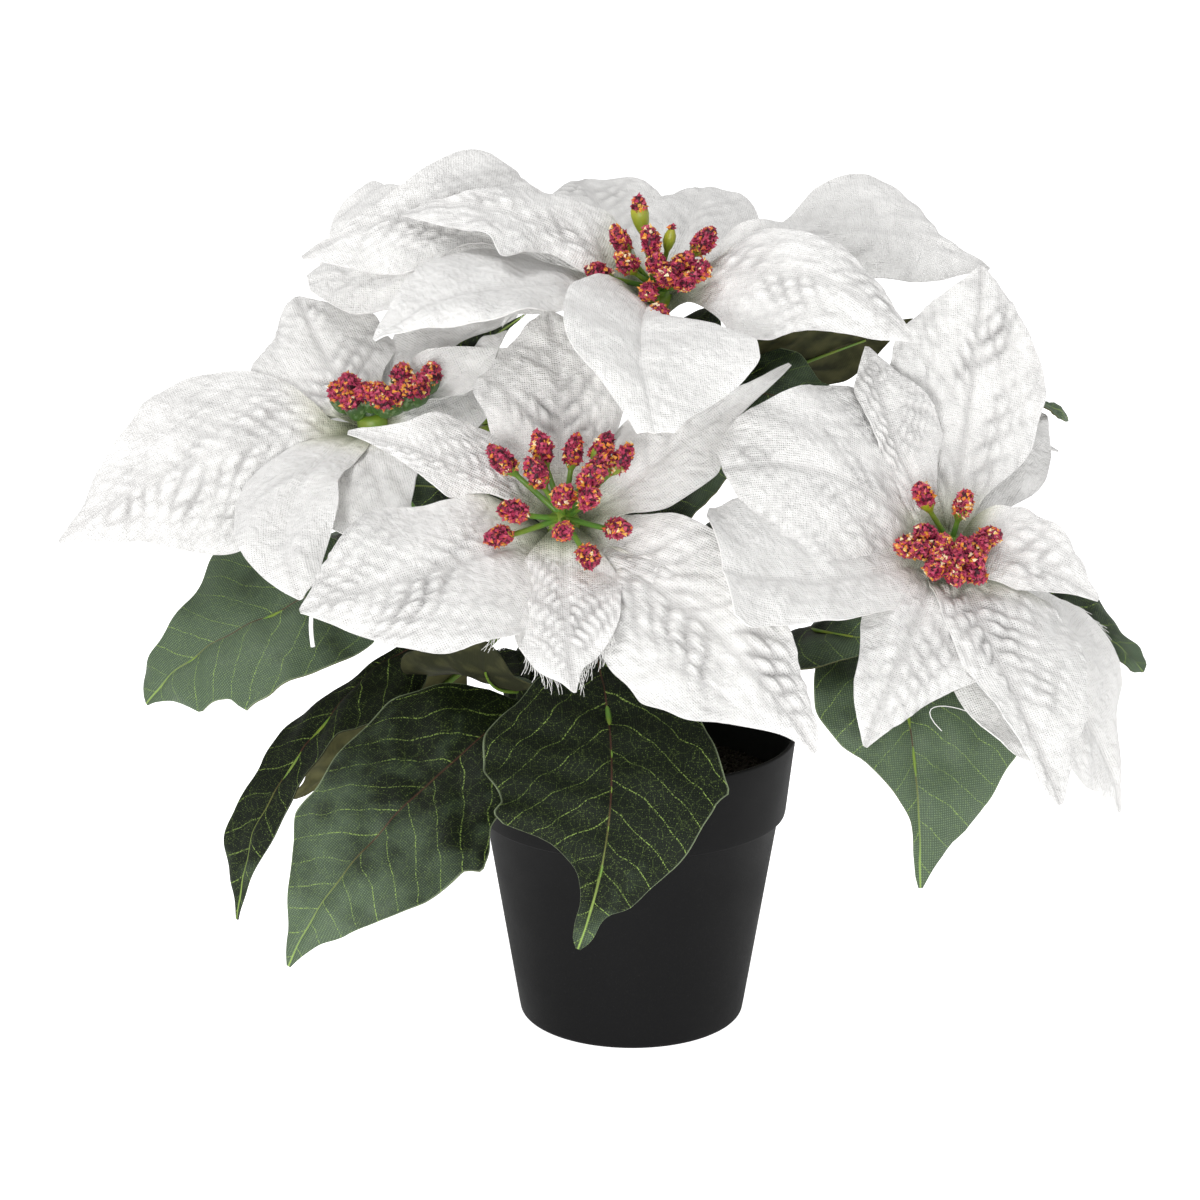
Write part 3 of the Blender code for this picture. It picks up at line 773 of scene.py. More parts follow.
@dataclass(frozen=True)
class LeafPrint:
    """Satin woven polyester with its leaf pattern transfer printed, then hot cut.

    It gives a satin gloss over a deep green that turns to a painted grey green sheen towards the
    tip, lime veins broken into specks by the weave, a red brown midrib near the stalk and a pale
    line along the cut edge.
    """

    deep: str = "#141D0F"
    # Grey green of the painted sheen
    green: str = "#5F7159"
    lime: str = "#A9C765"
    rib: str = "#57342B"
    edge: str = "#A9B892"
    # Real threads stand about 0.2 mm apart; drawn coarser, so that they show
    thread: float = 0.8
    vein_pitch: float = 12.5

    def material(self, name: str) -> bpy.types.Material:
        """Build the material.

        Args:
            name: Name of the material.

        Returns:
            The material.
        """
        material, add, dress = new_material(name, {"Roughness": 0.4, "Specular IOR Level": 0.22})
        cloth = add("ShaderNodeUVMap", uv_map=CLOTH_MAP).outputs[0]
        shares = add("ShaderNodeUVMap", uv_map=SHARE_MAP).outputs[0]
        share = add("ShaderNodeSeparateXYZ", {0: shares})
        place = add("ShaderNodeSeparateXYZ", {0: cloth})
        aside = add("ShaderNodeMath", {0: place.outputs[1]}, operation="ABSOLUTE")
        blotch = add("ShaderNodeTexNoise", {"Vector": cloth, "Scale": 0.06, "Detail": 2.0})
        body = add("ShaderNodeMapRange", {0: blotch, 1: 0.3, 2: 0.7, 3: 0.0, 4: 0.8})
        # Per leaf painted shade, painted sheen where below zero; above zero it also dulls the gloss
        dye = add("ShaderNodeAttribute", attribute_name="dye").outputs["Fac"]
        dull = add("ShaderNodeMapRange", {0: dye, 3: 0.38, 4: 0.7})
        dress({"Roughness": dull})
        # Painted sheen grows towards the tip over random blotches; the leaf's painted shade darkens it,
        # and pales it where below zero
        tip_sheen_and_blotch = add("ShaderNodeMath", {0: share.outputs[0], 1: 2.2, 2: body}, operation="MULTIPLY_ADD")
        shifted_level = add("ShaderNodeMath", {0: tip_sheen_and_blotch, 1: 1.15}, operation="SUBTRACT")
        pale = add("ShaderNodeMath", {0: shifted_level, 1: dye}, operation="SUBTRACT", use_clamp=True)
        ground = add("ShaderNodeMix", {0: pale, 6: linear(self.deep), 7: linear(self.green)},
                     data_type="RGBA")
        weave = weave_height(add, cloth, self.thread)
        threads = add("ShaderNodeMapRange", {0: weave, 3: 0.6, 4: 1.45})
        base = add("ShaderNodeMix", {0: 1.0, 6: ground, 7: threads}, data_type="RGBA",
                   blend_type="MULTIPLY")
        specks = add("ShaderNodeTexNoise", {"Vector": cloth, "Scale": 1.9, "Detail": 1.0})
        broken = add("ShaderNodeMapRange", {0: specks, 1: 0.44, 2: 0.56})
        veins = self.side_veins(add, place.outputs[0], place.outputs[1], aside, cloth)
        net = add("ShaderNodeTexVoronoi", {"Vector": cloth, "Scale": 1.0 / 3.6},
                  feature="DISTANCE_TO_EDGE")
        lines = add("ShaderNodeMapRange", {0: net.outputs["Distance"], 1: 0.06, 2: 0.01, 3: 0.0,
                                           4: 0.1})
        fine = add("ShaderNodeMapRange", {0: specks, 1: 0.67, 2: 0.71, 3: 0.0, 4: 0.3})
        pattern = add("ShaderNodeMath", {0: veins, 1: lines}, operation="MAXIMUM")
        dotted = add("ShaderNodeMath", {0: pattern, 1: broken}, operation="MULTIPLY")
        print_on = add("ShaderNodeMath", {0: dotted, 1: fine}, operation="MAXIMUM")
        veined = add("ShaderNodeMix", {0: print_on, 6: base, 7: linear(self.lime)}, data_type="RGBA")
        rib = add("ShaderNodeMapRange", {0: aside, 1: 0.4, 2: 0.15, 4: 0.65})
        fade = add("ShaderNodeMapRange", {0: share.outputs[0], 1: 0.95, 2: 0.6})
        brown = add("ShaderNodeMix", {0: fade, 6: linear(self.lime), 7: linear(self.rib)},
                    data_type="RGBA")
        ribbed = add("ShaderNodeMix", {0: rib, 6: veined, 7: brown}, data_type="RGBA")
        offset = add("ShaderNodeMath", {0: share.outputs[1], 1: 0.5}, operation="SUBTRACT")
        reach = add("ShaderNodeMath", {0: offset}, operation="ABSOLUTE")
        rim = add("ShaderNodeMapRange", {0: reach, 1: 0.49, 2: 0.498, 3: 0.0, 4: 0.45})
        colour = add("ShaderNodeMix", {0: rim, 6: ribbed, 7: linear(self.edge)}, data_type="RGBA")
        bump = add("ShaderNodeBump", {"Height": weave, "Distance": 0.16 * MM, "Strength": 0.7})
        dress({"Base Color": colour, "Normal": bump})
        return material

    def side_veins(self, add: Adder, along: bpy.types.NodeSocket, across: bpy.types.NodeSocket,
                   aside: bpy.types.Node, cloth: bpy.types.NodeSocket) -> bpy.types.Node:
        """Mark the side veins, which leave the midrib by turns and sweep to the tip.

        Args:
            add: Adds a node to the material.
            along: Millimetres from the root.
            across: Millimetres from the midrib, with its sign.
            aside: Millimetres from the midrib.
            cloth: Millimetres along and across the cloth.

        Returns:
            The node that gives 1 on a vein and 0 between them.
        """
        wander = add("ShaderNodeTexNoise", {"Vector": cloth, "Scale": 0.06})
        square = add("ShaderNodeMath", {0: aside, 1: aside}, operation="MULTIPLY")
        bend = add("ShaderNodeMath", {0: square, 1: -0.006, 2: along}, operation="MULTIPLY_ADD")
        slant = add("ShaderNodeMath", {0: aside, 1: -0.8, 2: bend}, operation="MULTIPLY_ADD")
        shift = add("ShaderNodeMath", {0: wander, 1: 9.0, 2: slant}, operation="MULTIPLY_ADD")
        turn = add("ShaderNodeMath", {0: across, 1: 0.0}, operation="GREATER_THAN")
        stagger = add("ShaderNodeMath", {0: turn, 1: 0.35 * self.vein_pitch, 2: shift},
                      operation="MULTIPLY_ADD")
        wrapped = add("ShaderNodeMath", {0: stagger, 1: self.vein_pitch * 0.5}, operation="PINGPONG")
        line = add("ShaderNodeMapRange", {0: wrapped, 1: 0.38, 2: 0.12})
        shifted_level = add("ShaderNodeMapRange", {0: wander.outputs[1], 1: 0.4, 2: 0.6, 3: 0.4, 4: 0.75})
        return add("ShaderNodeMath", {0: line, 1: shifted_level}, operation="MULTIPLY")


@dataclass(frozen=True)
class LeafBack:
    """Unprinted back of the leaf cloth, sized with resin.

    It gives a flat pale olive with random blotches, painted shade in the hollows of the relief
    along the veins, and the leaf's painted shade, which turns to painted sheen where below zero.
    """

    olive: str = "#65643F"
    # Painted shade in the hollows and on leaves set in shadow, also the darker random blotches
    dark: str = "#2C2E1A"
    # Drawn coarser than the real 0.2 mm, so that it shows
    thread: float = 0.6

    def material(self, name: str) -> bpy.types.Material:
        """Build the material.

        Args:
            name: Name of the material.

        Returns:
            The material.
        """
        material, add, dress = new_material(name, {"Roughness": 0.8, "Specular IOR Level": 0.25})
        cloth = add("ShaderNodeUVMap", uv_map=CLOTH_MAP).outputs[0]
        crease = add("ShaderNodeAttribute", attribute_name="crease").outputs["Fac"]
        blotch = add("ShaderNodeTexNoise", {"Vector": cloth, "Scale": 0.15, "Detail": 3.0})
        ground = add("ShaderNodeMapRange", {0: blotch, 1: 0.35, 2: 0.75, 3: 0.0, 4: 0.5})
        dye = add("ShaderNodeAttribute", attribute_name="dye").outputs["Fac"]
        # Painted shade: darker in the hollows of the relief and by the leaf's painted shade, over random
        # blotches
        blotch_crease_shade = add("ShaderNodeMath", {0: ground, 1: crease}, operation="ADD")
        blotch_and_shade = add("ShaderNodeMath", {0: blotch_crease_shade, 1: dye}, operation="ADD", use_clamp=True)
        colour = add("ShaderNodeMix", {0: blotch_and_shade, 6: linear(self.olive), 7: linear(self.dark)},
                     data_type="RGBA")
        bump = add("ShaderNodeBump", {"Height": weave_height(add, cloth, self.thread),
                                      "Distance": 0.12 * MM, "Strength": 0.5})
        dress({"Base Color": colour, "Normal": bump})
        return material


@dataclass(frozen=True)
class GreenPlastic:
    """Soft PVC extruded over wire for stems and moulded for stalks and cups.

    It gives a waxy green that turns yellow where the moulding is thin, and a dark green
    with pale rubbed marks where it is thick, for which the attribute thin is negative.
    """

    green: str = "#5F8C36"
    yellow: str = "#A8A520"
    dark: str = "#2F4429"
    scratch: str = "#93A183"

    def material(self, name: str) -> bpy.types.Material:
        """Build the material.

        Args:
            name: Name of the material.

        Returns:
            The material.
        """
        material, add, dress = new_material(name, {"Roughness": 0.42, "IOR": 1.53,
                                                   "Subsurface Weight": 0.1,
                                                   "Subsurface Scale": 1.0 * MM})
        thin = add("ShaderNodeAttribute", attribute_name="thin").outputs["Fac"]
        place = add("ShaderNodeTexCoord").outputs["Object"]
        noise = add("ShaderNodeTexNoise", {"Vector": place, "Scale": 160.0, "Detail": 2.0})
        uneven = add("ShaderNodeMapRange", {0: noise, 1: 0.3, 2: 0.7, 3: -0.2, 4: 0.2})
        amount = add("ShaderNodeMath", {0: thin, 1: uneven}, operation="ADD", use_clamp=True)
        fresh = add("ShaderNodeMix", {0: amount, 6: linear(self.green), 7: linear(self.yellow)},
                    data_type="RGBA")
        rubbed = add("ShaderNodeTexNoise", {"Vector": place, "Scale": 700.0, "Detail": 2.0})
        marks = add("ShaderNodeMapRange", {0: rubbed, 1: 0.54, 2: 0.64, 3: 0.0, 4: 0.6})
        worn = add("ShaderNodeMix", {0: marks, 6: linear(self.dark), 7: linear(self.scratch)},
                   data_type="RGBA")
        thick = add("ShaderNodeMath", {0: thin, 1: -1.0}, operation="MULTIPLY", use_clamp=True)
        colour = add("ShaderNodeMix", {0: thick, 6: fresh, 7: worn}, data_type="RGBA")
        grain = add("ShaderNodeTexNoise", {"Vector": place, "Scale": 900.0})
        bump = add("ShaderNodeBump", {"Height": grain, "Distance": 0.2 * MM, "Strength": 0.25})
        dress({"Base Color": colour, "Normal": bump})
        return material


@dataclass(frozen=True)
class Crumbs:
    """Dyed plastic granules glued over the flower heads.

    They give a coarse sparkle of crimson, with pink, orange and cream grains in patches.
    """

    tones: tuple[tuple[float, str], ...] = (
        (0.0, "#3E0B1A"), (0.13, "#701430"), (0.34, "#932042"), (0.55, "#AC3156"), (0.7, "#C04A66"),
        (0.81, "#CF5A3C"), (0.87, "#DD9230"), (0.94, "#E6B95A"), (0.985, "#F0DDB8"))

    def material(self, name: str) -> bpy.types.Material:
        """Build the material.

        Args:
            name: Name of the material.

        Returns:
            The material.
        """
        material, add, dress = new_material(name, {"Roughness": 0.5})
        tone = add("ShaderNodeAttribute", attribute_name="tone").outputs["Fac"]
        place = add("ShaderNodeTexCoord").outputs["Object"]
        patch = add("ShaderNodeTexNoise", {"Vector": place, "Scale": 220.0})
        shift = add("ShaderNodeMapRange", {0: patch, 1: 0.3, 2: 0.7, 3: -0.22, 4: 0.12})
        amount = add("ShaderNodeMath", {0: tone, 1: shift}, operation="ADD")
        ramp = add("ShaderNodeValToRGB", {0: amount})
        ramp.color_ramp.interpolation = "CONSTANT"
        stops = ramp.color_ramp.elements
        stops.remove(stops[1])
        for number, (position, code) in enumerate(self.tones):
            stop = stops[0] if number == 0 else stops.new(position)
            stop.position = position
            stop.color = linear(code)
        dress({"Base Color": ramp})
        return material


@dataclass(frozen=True)
class MouldedPot:
    """Polypropylene injected into a spark eroded mould.

    It gives an even charcoal black with a fine matt grain and a broad dull highlight.
    """

    black: str = "#0A0A0B"
    rubbed: str = "#121213"
    # Real grain is about 0.1 mm across; drawn coarser, so that it shows
    grain: float = 0.45

    def material(self, name: str) -> bpy.types.Material:
        """Build the material.

        Args:
            name: Name of the material.

        Returns:
            The material.
        """
        material, add, dress = new_material(name, {"Roughness": 0.6, "Specular IOR Level": 0.16,
                                                   "IOR": 1.49})
        place = add("ShaderNodeTexCoord").outputs["Object"]
        cloud = add("ShaderNodeTexNoise", {"Vector": place, "Scale": 35.0, "Detail": 4.0})
        rough = add("ShaderNodeMapRange", {0: cloud, 1: 0.3, 2: 0.7, 3: 0.54, 4: 0.66})
        dress({"Roughness": rough})
        colour = add("ShaderNodeMix", {0: cloud, 6: linear(self.black), 7: linear(self.rubbed)},
                     data_type="RGBA")
        grain = add("ShaderNodeTexNoise", {"Vector": place, "Detail": 2.0,
                                           "Scale": 1.0 / (self.grain * MM)})
        bump = add("ShaderNodeBump", {"Height": grain, "Distance": 0.12 * MM, "Strength": 0.5})
        dress({"Base Color": colour, "Normal": bump})
        return material


@dataclass(frozen=True)
class CastPlug:
    """Cement cast into the pot, coloured black and strewn with grit while wet.

    It gives a dull near black bed with coarse grains.
    """

    black: str = "#15120F"
    brown: str = "#2A221B"

    def material(self, name: str) -> bpy.types.Material:
        """Build the material.

        Args:
            name: Name of the material.

        Returns:
            The material.
        """
        material, add, dress = new_material(name, {"Roughness": 0.95, "Specular IOR Level": 0.3})
        place = add("ShaderNodeTexCoord").outputs["Object"]
        cloud = add("ShaderNodeTexNoise", {"Vector": place, "Scale": 260.0, "Detail": 5.0})
        colour = add("ShaderNodeMix", {0: cloud, 6: linear(self.black), 7: linear(self.brown)},
                     data_type="RGBA")
        bump = add("ShaderNodeBump", {"Height": cloud, "Distance": 0.8 * MM, "Strength": 0.8})
        dress({"Base Color": colour, "Normal": bump})
        return material


@dataclass(frozen=True)
class StudioFloor:
    """Opal acrylic lit from below, which gives a clean white ground with hardly a shadow."""

    white: str = "#E8E8E8"
    cloudy: str = "#E4E4E4"
    glow: float = 0.55
    seen: float = 1.05

    def material(self, name: str) -> bpy.types.Material:
        """Build the material.

        Args:
            name: Name of the material.

        Returns:
            The material.
        """
        material, add, dress = new_material(name, {"Roughness": 0.9, "Specular IOR Level": 0.1,
                                                   "Emission Color": WHITE})
        ray = add("ShaderNodeLightPath").outputs["Is Camera Ray"]
        glow = add("ShaderNodeMapRange", {0: ray, 3: self.glow, 4: self.seen})
        dress({"Emission Strength": glow})
        place = add("ShaderNodeTexCoord").outputs["Object"]
        cloud = add("ShaderNodeTexNoise", {"Vector": place, "Scale": 40.0})
        colour = add("ShaderNodeMix", {0: cloud, 6: linear(self.white), 7: linear(self.cloudy)},
                     data_type="RGBA")
        dress({"Base Color": colour})
        return material


class Wardrobe:
    """Holds one of each material, so that pieces share them."""

    def __init__(self) -> None:
        """Build every material once."""
        self.bract = BractCloth().material("embossed white polyester")
        self.bract_under = BractCloth().material("embossed white polyester back", under=True)
        self.yarn = Yarn().material("spun polyester yarn")
        self.leaf = LeafPrint().material("printed satin polyester")
        self.leaf_back = LeafBack().material("resin sized polyester back")
        self.plastic = GreenPlastic().material("moulded green vinyl")
        self.crumbs = Crumbs().material("glued plastic granules")
        self.pot = MouldedPot().material("moulded black polypropylene")
        self.plug = CastPlug().material("cast black cement")


class NodeRecipe:
    """A Geometry Nodes tree with named inputs, run on an object and then baked in."""

    def __init__(self, name: str, **inputs: str) -> None:
        """Start a tree with geometry in and out.

        Args:
            name: Name of the tree.
            inputs: Float, Int or Material for each named input.
        """
        self.tree = bpy.data.node_groups.new(name, "GeometryNodeTree")
        self.add = partial(add_node, self.tree)
        sockets = self.tree.interface
        for way in ("INPUT", "OUTPUT"):
            sockets.new_socket("Geometry", in_out=way, socket_type="NodeSocketGeometry")
        start = self.add("NodeGroupInput")
        self.end = self.add("NodeGroupOutput")
        self.ids = {key: sockets.new_socket(key, in_out="INPUT",
                                            socket_type="NodeSocket" + kind).identifier
                    for key, kind in inputs.items()}
        self.given = {key: start.outputs[key] for key in ("Geometry", *inputs)}

    def finish(self, geometry: bpy.types.Node) -> None:
        """Give the geometry its material and end the tree.

        Args:
            geometry: The node that makes it.
        """
        dressed = self.add("GeometryNodeSetMaterial", {"Geometry": geometry,
                                                       "Material": self.given["material"]})
        feed(self.tree, self.end, {0: dressed})

    def run(self, item: bpy.types.Object, **values: object) -> None:
        """Run the tree on an object and keep the result as its plain mesh.

        Args:
            item: The object to change.
            values: A value for each named input.
        """
        modifier = item.modifiers.new(self.tree.name, "NODES")
        modifier.node_group = self.tree
        for name, value in values.items():
            modifier[self.ids[name]] = value
        graph = bpy.context.evaluated_depsgraph_get()
        mesh = bpy.data.meshes.new_from_object(item.evaluated_get(graph), depsgraph=graph)
        mesh.name = item.name
        item.modifiers.clear()
        item.data = mesh


class GrainRecipe(NodeRecipe):
    """Strews grains over an object's faces and keeps the object under them."""

    def __init__(self, name: str) -> None:
        """Start the tree.

        Args:
            name: Name of the tree.
        """
        super().__init__(name, density="Float", size="Float", seed="Int", material="Material")
        self.seed = self.given["seed"]

    def points(self, **more: bpy.types.Node) -> bpy.types.NodeSocket:
        """Strew points.

        Args:
            more: What else feeds the node that strews them.

        Returns:
            The points.
        """
        spots = self.add("GeometryNodeDistributePointsOnFaces",
                         {"Mesh": self.given["Geometry"], "Density": self.given["density"],
                          "Seed": self.seed, **more})
        return spots.outputs["Points"]

    def place(self, points: bpy.types.Node | bpy.types.NodeSocket, grain: bpy.types.Node,
              scale: bpy.types.Node) -> None:
        """Put a grain on each point, turned at random, and end the tree.

        Args:
            points: The points.
            grain: The shape of a grain.
            scale: The size of each grain.
        """
        turn = self.add("FunctionNodeRandomValue", {"Seed": self.seed, 0: (0.0, 0.0, 0.0),
                                                    1: (6.28, 6.28, 6.28)},
                        data_type="FLOAT_VECTOR")
        grains = self.add("GeometryNodeInstanceOnPoints",
                          {"Points": points, "Instance": grain.outputs["Mesh"], "Rotation": turn,
                           "Scale": scale})
        real = self.add("GeometryNodeRealizeInstances", {0: grains})
        both = self.add("GeometryNodeJoinGeometry", {0: real})
        feed(self.tree, both, {0: self.given["Geometry"]})
        self.finish(both)


class CrumbRecipe(GrainRecipe):
    """Strews granules over the heads."""

    def __init__(self) -> None:
        """Wire the tree: four-sided grains of uneven size, one tone each."""
        super().__init__("crumbs on heads")
        tone = self.add("FunctionNodeRandomValue", {"Seed": self.seed}, data_type="FLOAT")
        toned = self.add("GeometryNodeStoreNamedAttribute",
                         {"Geometry": self.points(), "Name": "tone", "Value": tone},
                         data_type="FLOAT", domain="POINT")
        grain = self.add("GeometryNodeMeshCone", {"Vertices": 4, "Radius Top": 0.0,
                                                  "Radius Bottom": 0.5, "Depth": 1.0})
        low, high = (self.add("ShaderNodeMath", {0: self.given["size"], 1: share},
                              operation="MULTIPLY") for share in (0.55, 1.35))
        scale = self.add("FunctionNodeRandomValue", {"Seed": self.seed, 2: low, 3: high},
                         data_type="FLOAT")
        self.place(toned, grain, scale)


class GritRecipe(GrainRecipe):
    """Strews grit over the top of the plug."""

    def __init__(self) -> None:
        """Wire the tree: squashed lumps on the faces that look up."""
        super().__init__("grit on plug")
        height = self.add("ShaderNodeSeparateXYZ", {0: self.add("GeometryNodeInputNormal")})
        facing = self.add("ShaderNodeMath", {0: height.outputs[2], 1: 0.7},
                          operation="GREATER_THAN")
        lump = self.add("GeometryNodeMeshIcoSphere", {"Radius": 1.0, "Subdivisions": 1})
        squash = self.add("FunctionNodeRandomValue", {"Seed": self.seed, 0: (0.3, 0.3, 0.3),
                                                      1: (1.0, 1.0, 0.7)},
                          data_type="FLOAT_VECTOR")
        scale = self.add("ShaderNodeVectorMath", {0: squash, "Scale": self.given["size"]},
                         operation="SCALE")
        self.place(self.points(Selection=facing), lump, scale)


class ThreadRecipe(NodeRecipe):
    """Pulls loose threads out of a cut edge, each a fine bent tube."""

    def __init__(self) -> None:
        """Wire the tree: points along the edge, bent threads turned outwards."""
        super().__init__("loose threads", spacing="Float", length="Float", radius="Float",
                         seed="Int", material="Material")
        seed, length = self.given["seed"], self.given["length"]
        line = self.add("GeometryNodeMeshToCurve", {0: self.given["Geometry"]})
        points = self.add("GeometryNodeCurveToPoints", {0: line, "Length": self.given["spacing"]},
                          mode="LENGTH")
        outward = self.add("GeometryNodeInputNamedAttribute", {"Name": "outward"},
                           data_type="FLOAT_VECTOR")
        jitter = self.add("FunctionNodeRandomValue", {"Seed": seed, 0: (-0.4, -0.4, -0.7),
                                                      1: (0.4, 0.4, 0.1)},
                          data_type="FLOAT_VECTOR")
        way = self.add("ShaderNodeVectorMath", {0: outward, 1: jitter}, operation="ADD")
        turn = self.add("FunctionNodeAlignEulerToVector", {"Vector": way}, axis="X")
        low = self.add("ShaderNodeMath", {0: length, 1: 0.25}, operation="MULTIPLY")
        scale = self.add("FunctionNodeRandomValue", {"Seed": seed, 2: low, 3: length},
                         data_type="FLOAT")
        thread = self.add("GeometryNodeCurveQuadraticBezier",
                          {"Resolution": 5, "Start": (-0.1, 0.0, 0.0), "Middle": (0.5, 0.1, 0.06),
                           "End": (1.0, -0.05, -0.1)})
        threads = self.add("GeometryNodeInstanceOnPoints", {"Points": points, "Instance": thread,
                                                            "Rotation": turn, "Scale": scale})
        real = self.add("GeometryNodeRealizeInstances", {0: threads})
        section = self.add("GeometryNodeCurvePrimitiveCircle",
                           {"Resolution": 4, "Radius": self.given["radius"]})
        tubes = self.add("GeometryNodeCurveToMesh", {"Curve": real, "Profile Curve": section,
                                                     "Fill Caps": True})
        self.finish(tubes)


@dataclass(frozen=True)
class Strand:
    """A loose thread or strip that hangs from a cut edge, by its bends and its radius."""

    bends: tuple[tuple[float, float, float], ...]
    radius: float = 0.15

    def build(self, parts: MeshParts) -> None:
        """Add the strand to the parts."""
        path = bezier([np.array(bend, float) for bend in self.bends], 14)
        points, faces = swept(path, np.full(14, self.radius), 6)
        parts.add(points, faces, 0, share=np.full((len(points), 2), 0.6))


@dataclass(frozen=True)
class Bloom:
    """One bloom: its hub, the way it faces, its bracts, its flower heads and its stem's hole."""

    letter: str
    hub: tuple[float, float, float]
    faces: tuple[float, float, float]
    hole: tuple[float, float]
    bracts: tuple[Blade, ...]
    heads: tuple[tuple[float, float, float], ...]
    kinds: tuple[tuple[int, HeadKind], ...] = ()
    cell: float = FRONT_CELL
    strands: tuple[Strand, ...] = ()
    crumbs: float = 2.0e6

    @property
    def axis(self) -> np.ndarray:
        """Unit direction that the bloom faces."""
        return unit(np.array(self.faces, float))

    @property
    def seed(self) -> int:
        """Seed of everything random on this bloom."""
        return ord(self.letter) * 100

    def bract_root(self, order: int) -> np.ndarray:
        """Where a bract leaves the hub, from the lowest up.

        Args:
            order: Number of the bract.

        Returns:
            The point.
        """
        hub = np.array(self.hub, float)
        out = np.array(self.bracts[order].middle, float) - hub
        out = unit(out - self.axis * out.dot(self.axis))
        level = order / (len(self.bracts) - 1) - 0.5
        return hub + out * (HUB_RADIUS - 3.5) + self.axis * (HUB_HEIGHT - 2.0) * level

    def cloths(self) -> list[ClothBlade]:
        """The bracts as cloths in place."""
        return [ClothBlade(blade, self.bract_root(order), self.axis,
                           FINE_CELL if blade.relief is Relief.BUMPED else self.cell,
                           self.seed + 7 * order)
                for order, blade in enumerate(self.bracts)]

    def build_bracts(self, wardrobe: Wardrobe) -> bpy.types.Object:
        """Make the bracts and the hub that holds them.

        Args:
            wardrobe: The materials.

        Returns:
            The piece.
        """
        parts = MeshParts()
        for cloth in self.cloths():
            cloth.build(parts, 0, 1)
        for strand in self.strands:
            strand.build(parts)
        hub = np.array(self.hub, float)
        half = HUB_HEIGHT * 0.5
        levels = np.array([-half, -half + 0.6, 0.0, half - 0.8, half])
        radii = np.array([HUB_RADIUS - 3.2, HUB_RADIUS - 2.2, HUB_RADIUS - 1.4, HUB_RADIUS - 1.6,
                          HUB_RADIUS - 2.6])
        points, faces = swept(hub + levels[:, None] * self.axis, radii, 24)
        parts.add(points, faces, 2, thin=0.3)
        item = parts.to_object("bract_cloth_" + self.letter,
                               [wardrobe.bract, wardrobe.bract_under, wardrobe.plastic])
        return placed(item, "bract_cloth", "bracts_" + self.letter)

    def build_threads(self, wardrobe: Wardrobe, recipe: ThreadRecipe) -> bpy.types.Object | None:
        """Make the loose threads along the frayed edges.

        Args:
            wardrobe: The materials.
            recipe: The tree that makes threads.

        Returns:
            The piece, or None where no edge is frayed.
        """
        points, edges, ways = [], [], []
        for cloth in self.cloths():
            for side, begin, end in cloth.blade.frayed:
                outer, out = cloth.edge(side, begin, end, 1.0)
                first = len(points)
                points += (outer * MM).tolist()
                ways += out.tolist()
                edges += [(first + number, first + number + 1) for number in range(len(outer) - 1)]
        if not points:
            return None
        mesh = bpy.data.meshes.new("frayed_edge_" + self.letter)
        mesh.from_pydata(points, edges, [])
        outward = mesh.attributes.new("outward", "FLOAT_VECTOR", "POINT")
        outward.data.foreach_set("vector", np.array(ways, dtype=np.float32).ravel())
        item = bpy.data.objects.new("frayed_edge_" + self.letter, mesh)
        bpy.context.scene.collection.objects.link(item)
        recipe.run(item, spacing=0.6 * MM, length=6.0 * MM, radius=0.09 * MM, seed=self.seed,
                   material=wardrobe.yarn)
        return placed(item, "bract_cloth")

    def build_heads(self, wardrobe: Wardrobe, recipe: CrumbRecipe) -> list[bpy.types.Object]:
        """Make the stalks and cups, and the crumb coated heads in them.

        Args:
            wardrobe: The materials.
            recipe: The tree that strews crumbs.

        Returns:
            The two pieces.
        """
        right = unit(np.array((1.0, 0.0, 0.0)) - self.axis * self.axis[0])
        above = np.cross(self.axis, right)
        foot = (np.array(self.hub, float)
                + self.axis * (HUB_HEIGHT * 0.5 + TOUCH_GAP + CLUSTER_HEIGHT * 0.5))
        stalks, cores = MeshParts(), MeshParts()
        levels = np.array([-2.0, -1.6, 0.6, 1.5, 2.0])
        radii = np.array([3.2, 3.8, 3.4, 2.4, 1.0])
        points, faces = swept(foot + levels[:, None] * self.axis, radii, 20)
        kinds = dict(self.kinds)
        stalks.add(points, faces, 0, thin=-0.9 if HeadKind.COMB in kinds.values() else 0.2)
        for number, (across, up, out) in enumerate(self.heads):
            aside = right * across + above * up
            end = foot + aside + self.axis * out
            start = foot + aside * 0.09
            head = FlowerHead(start, end, unit(end - foot), self.axis,
                              kinds.get(number, HeadKind.CRUMBED), self.seed + number)
            head.build(stalks, cores)
        cups = stalks.to_object("stalks_and_cups_" + self.letter, [wardrobe.plastic], 40.0)
        crumbs = cores.to_object("crumbs_" + self.letter, [wardrobe.crumbs], 60.0)
        recipe.run(crumbs, density=self.crumbs, size=1.35 * MM, seed=self.seed, material=wardrobe.crumbs)
        node = "cyathia_" + self.letter
        return [placed(cups, "crumb_heads", node), placed(crumbs, "crumb_heads", node)]


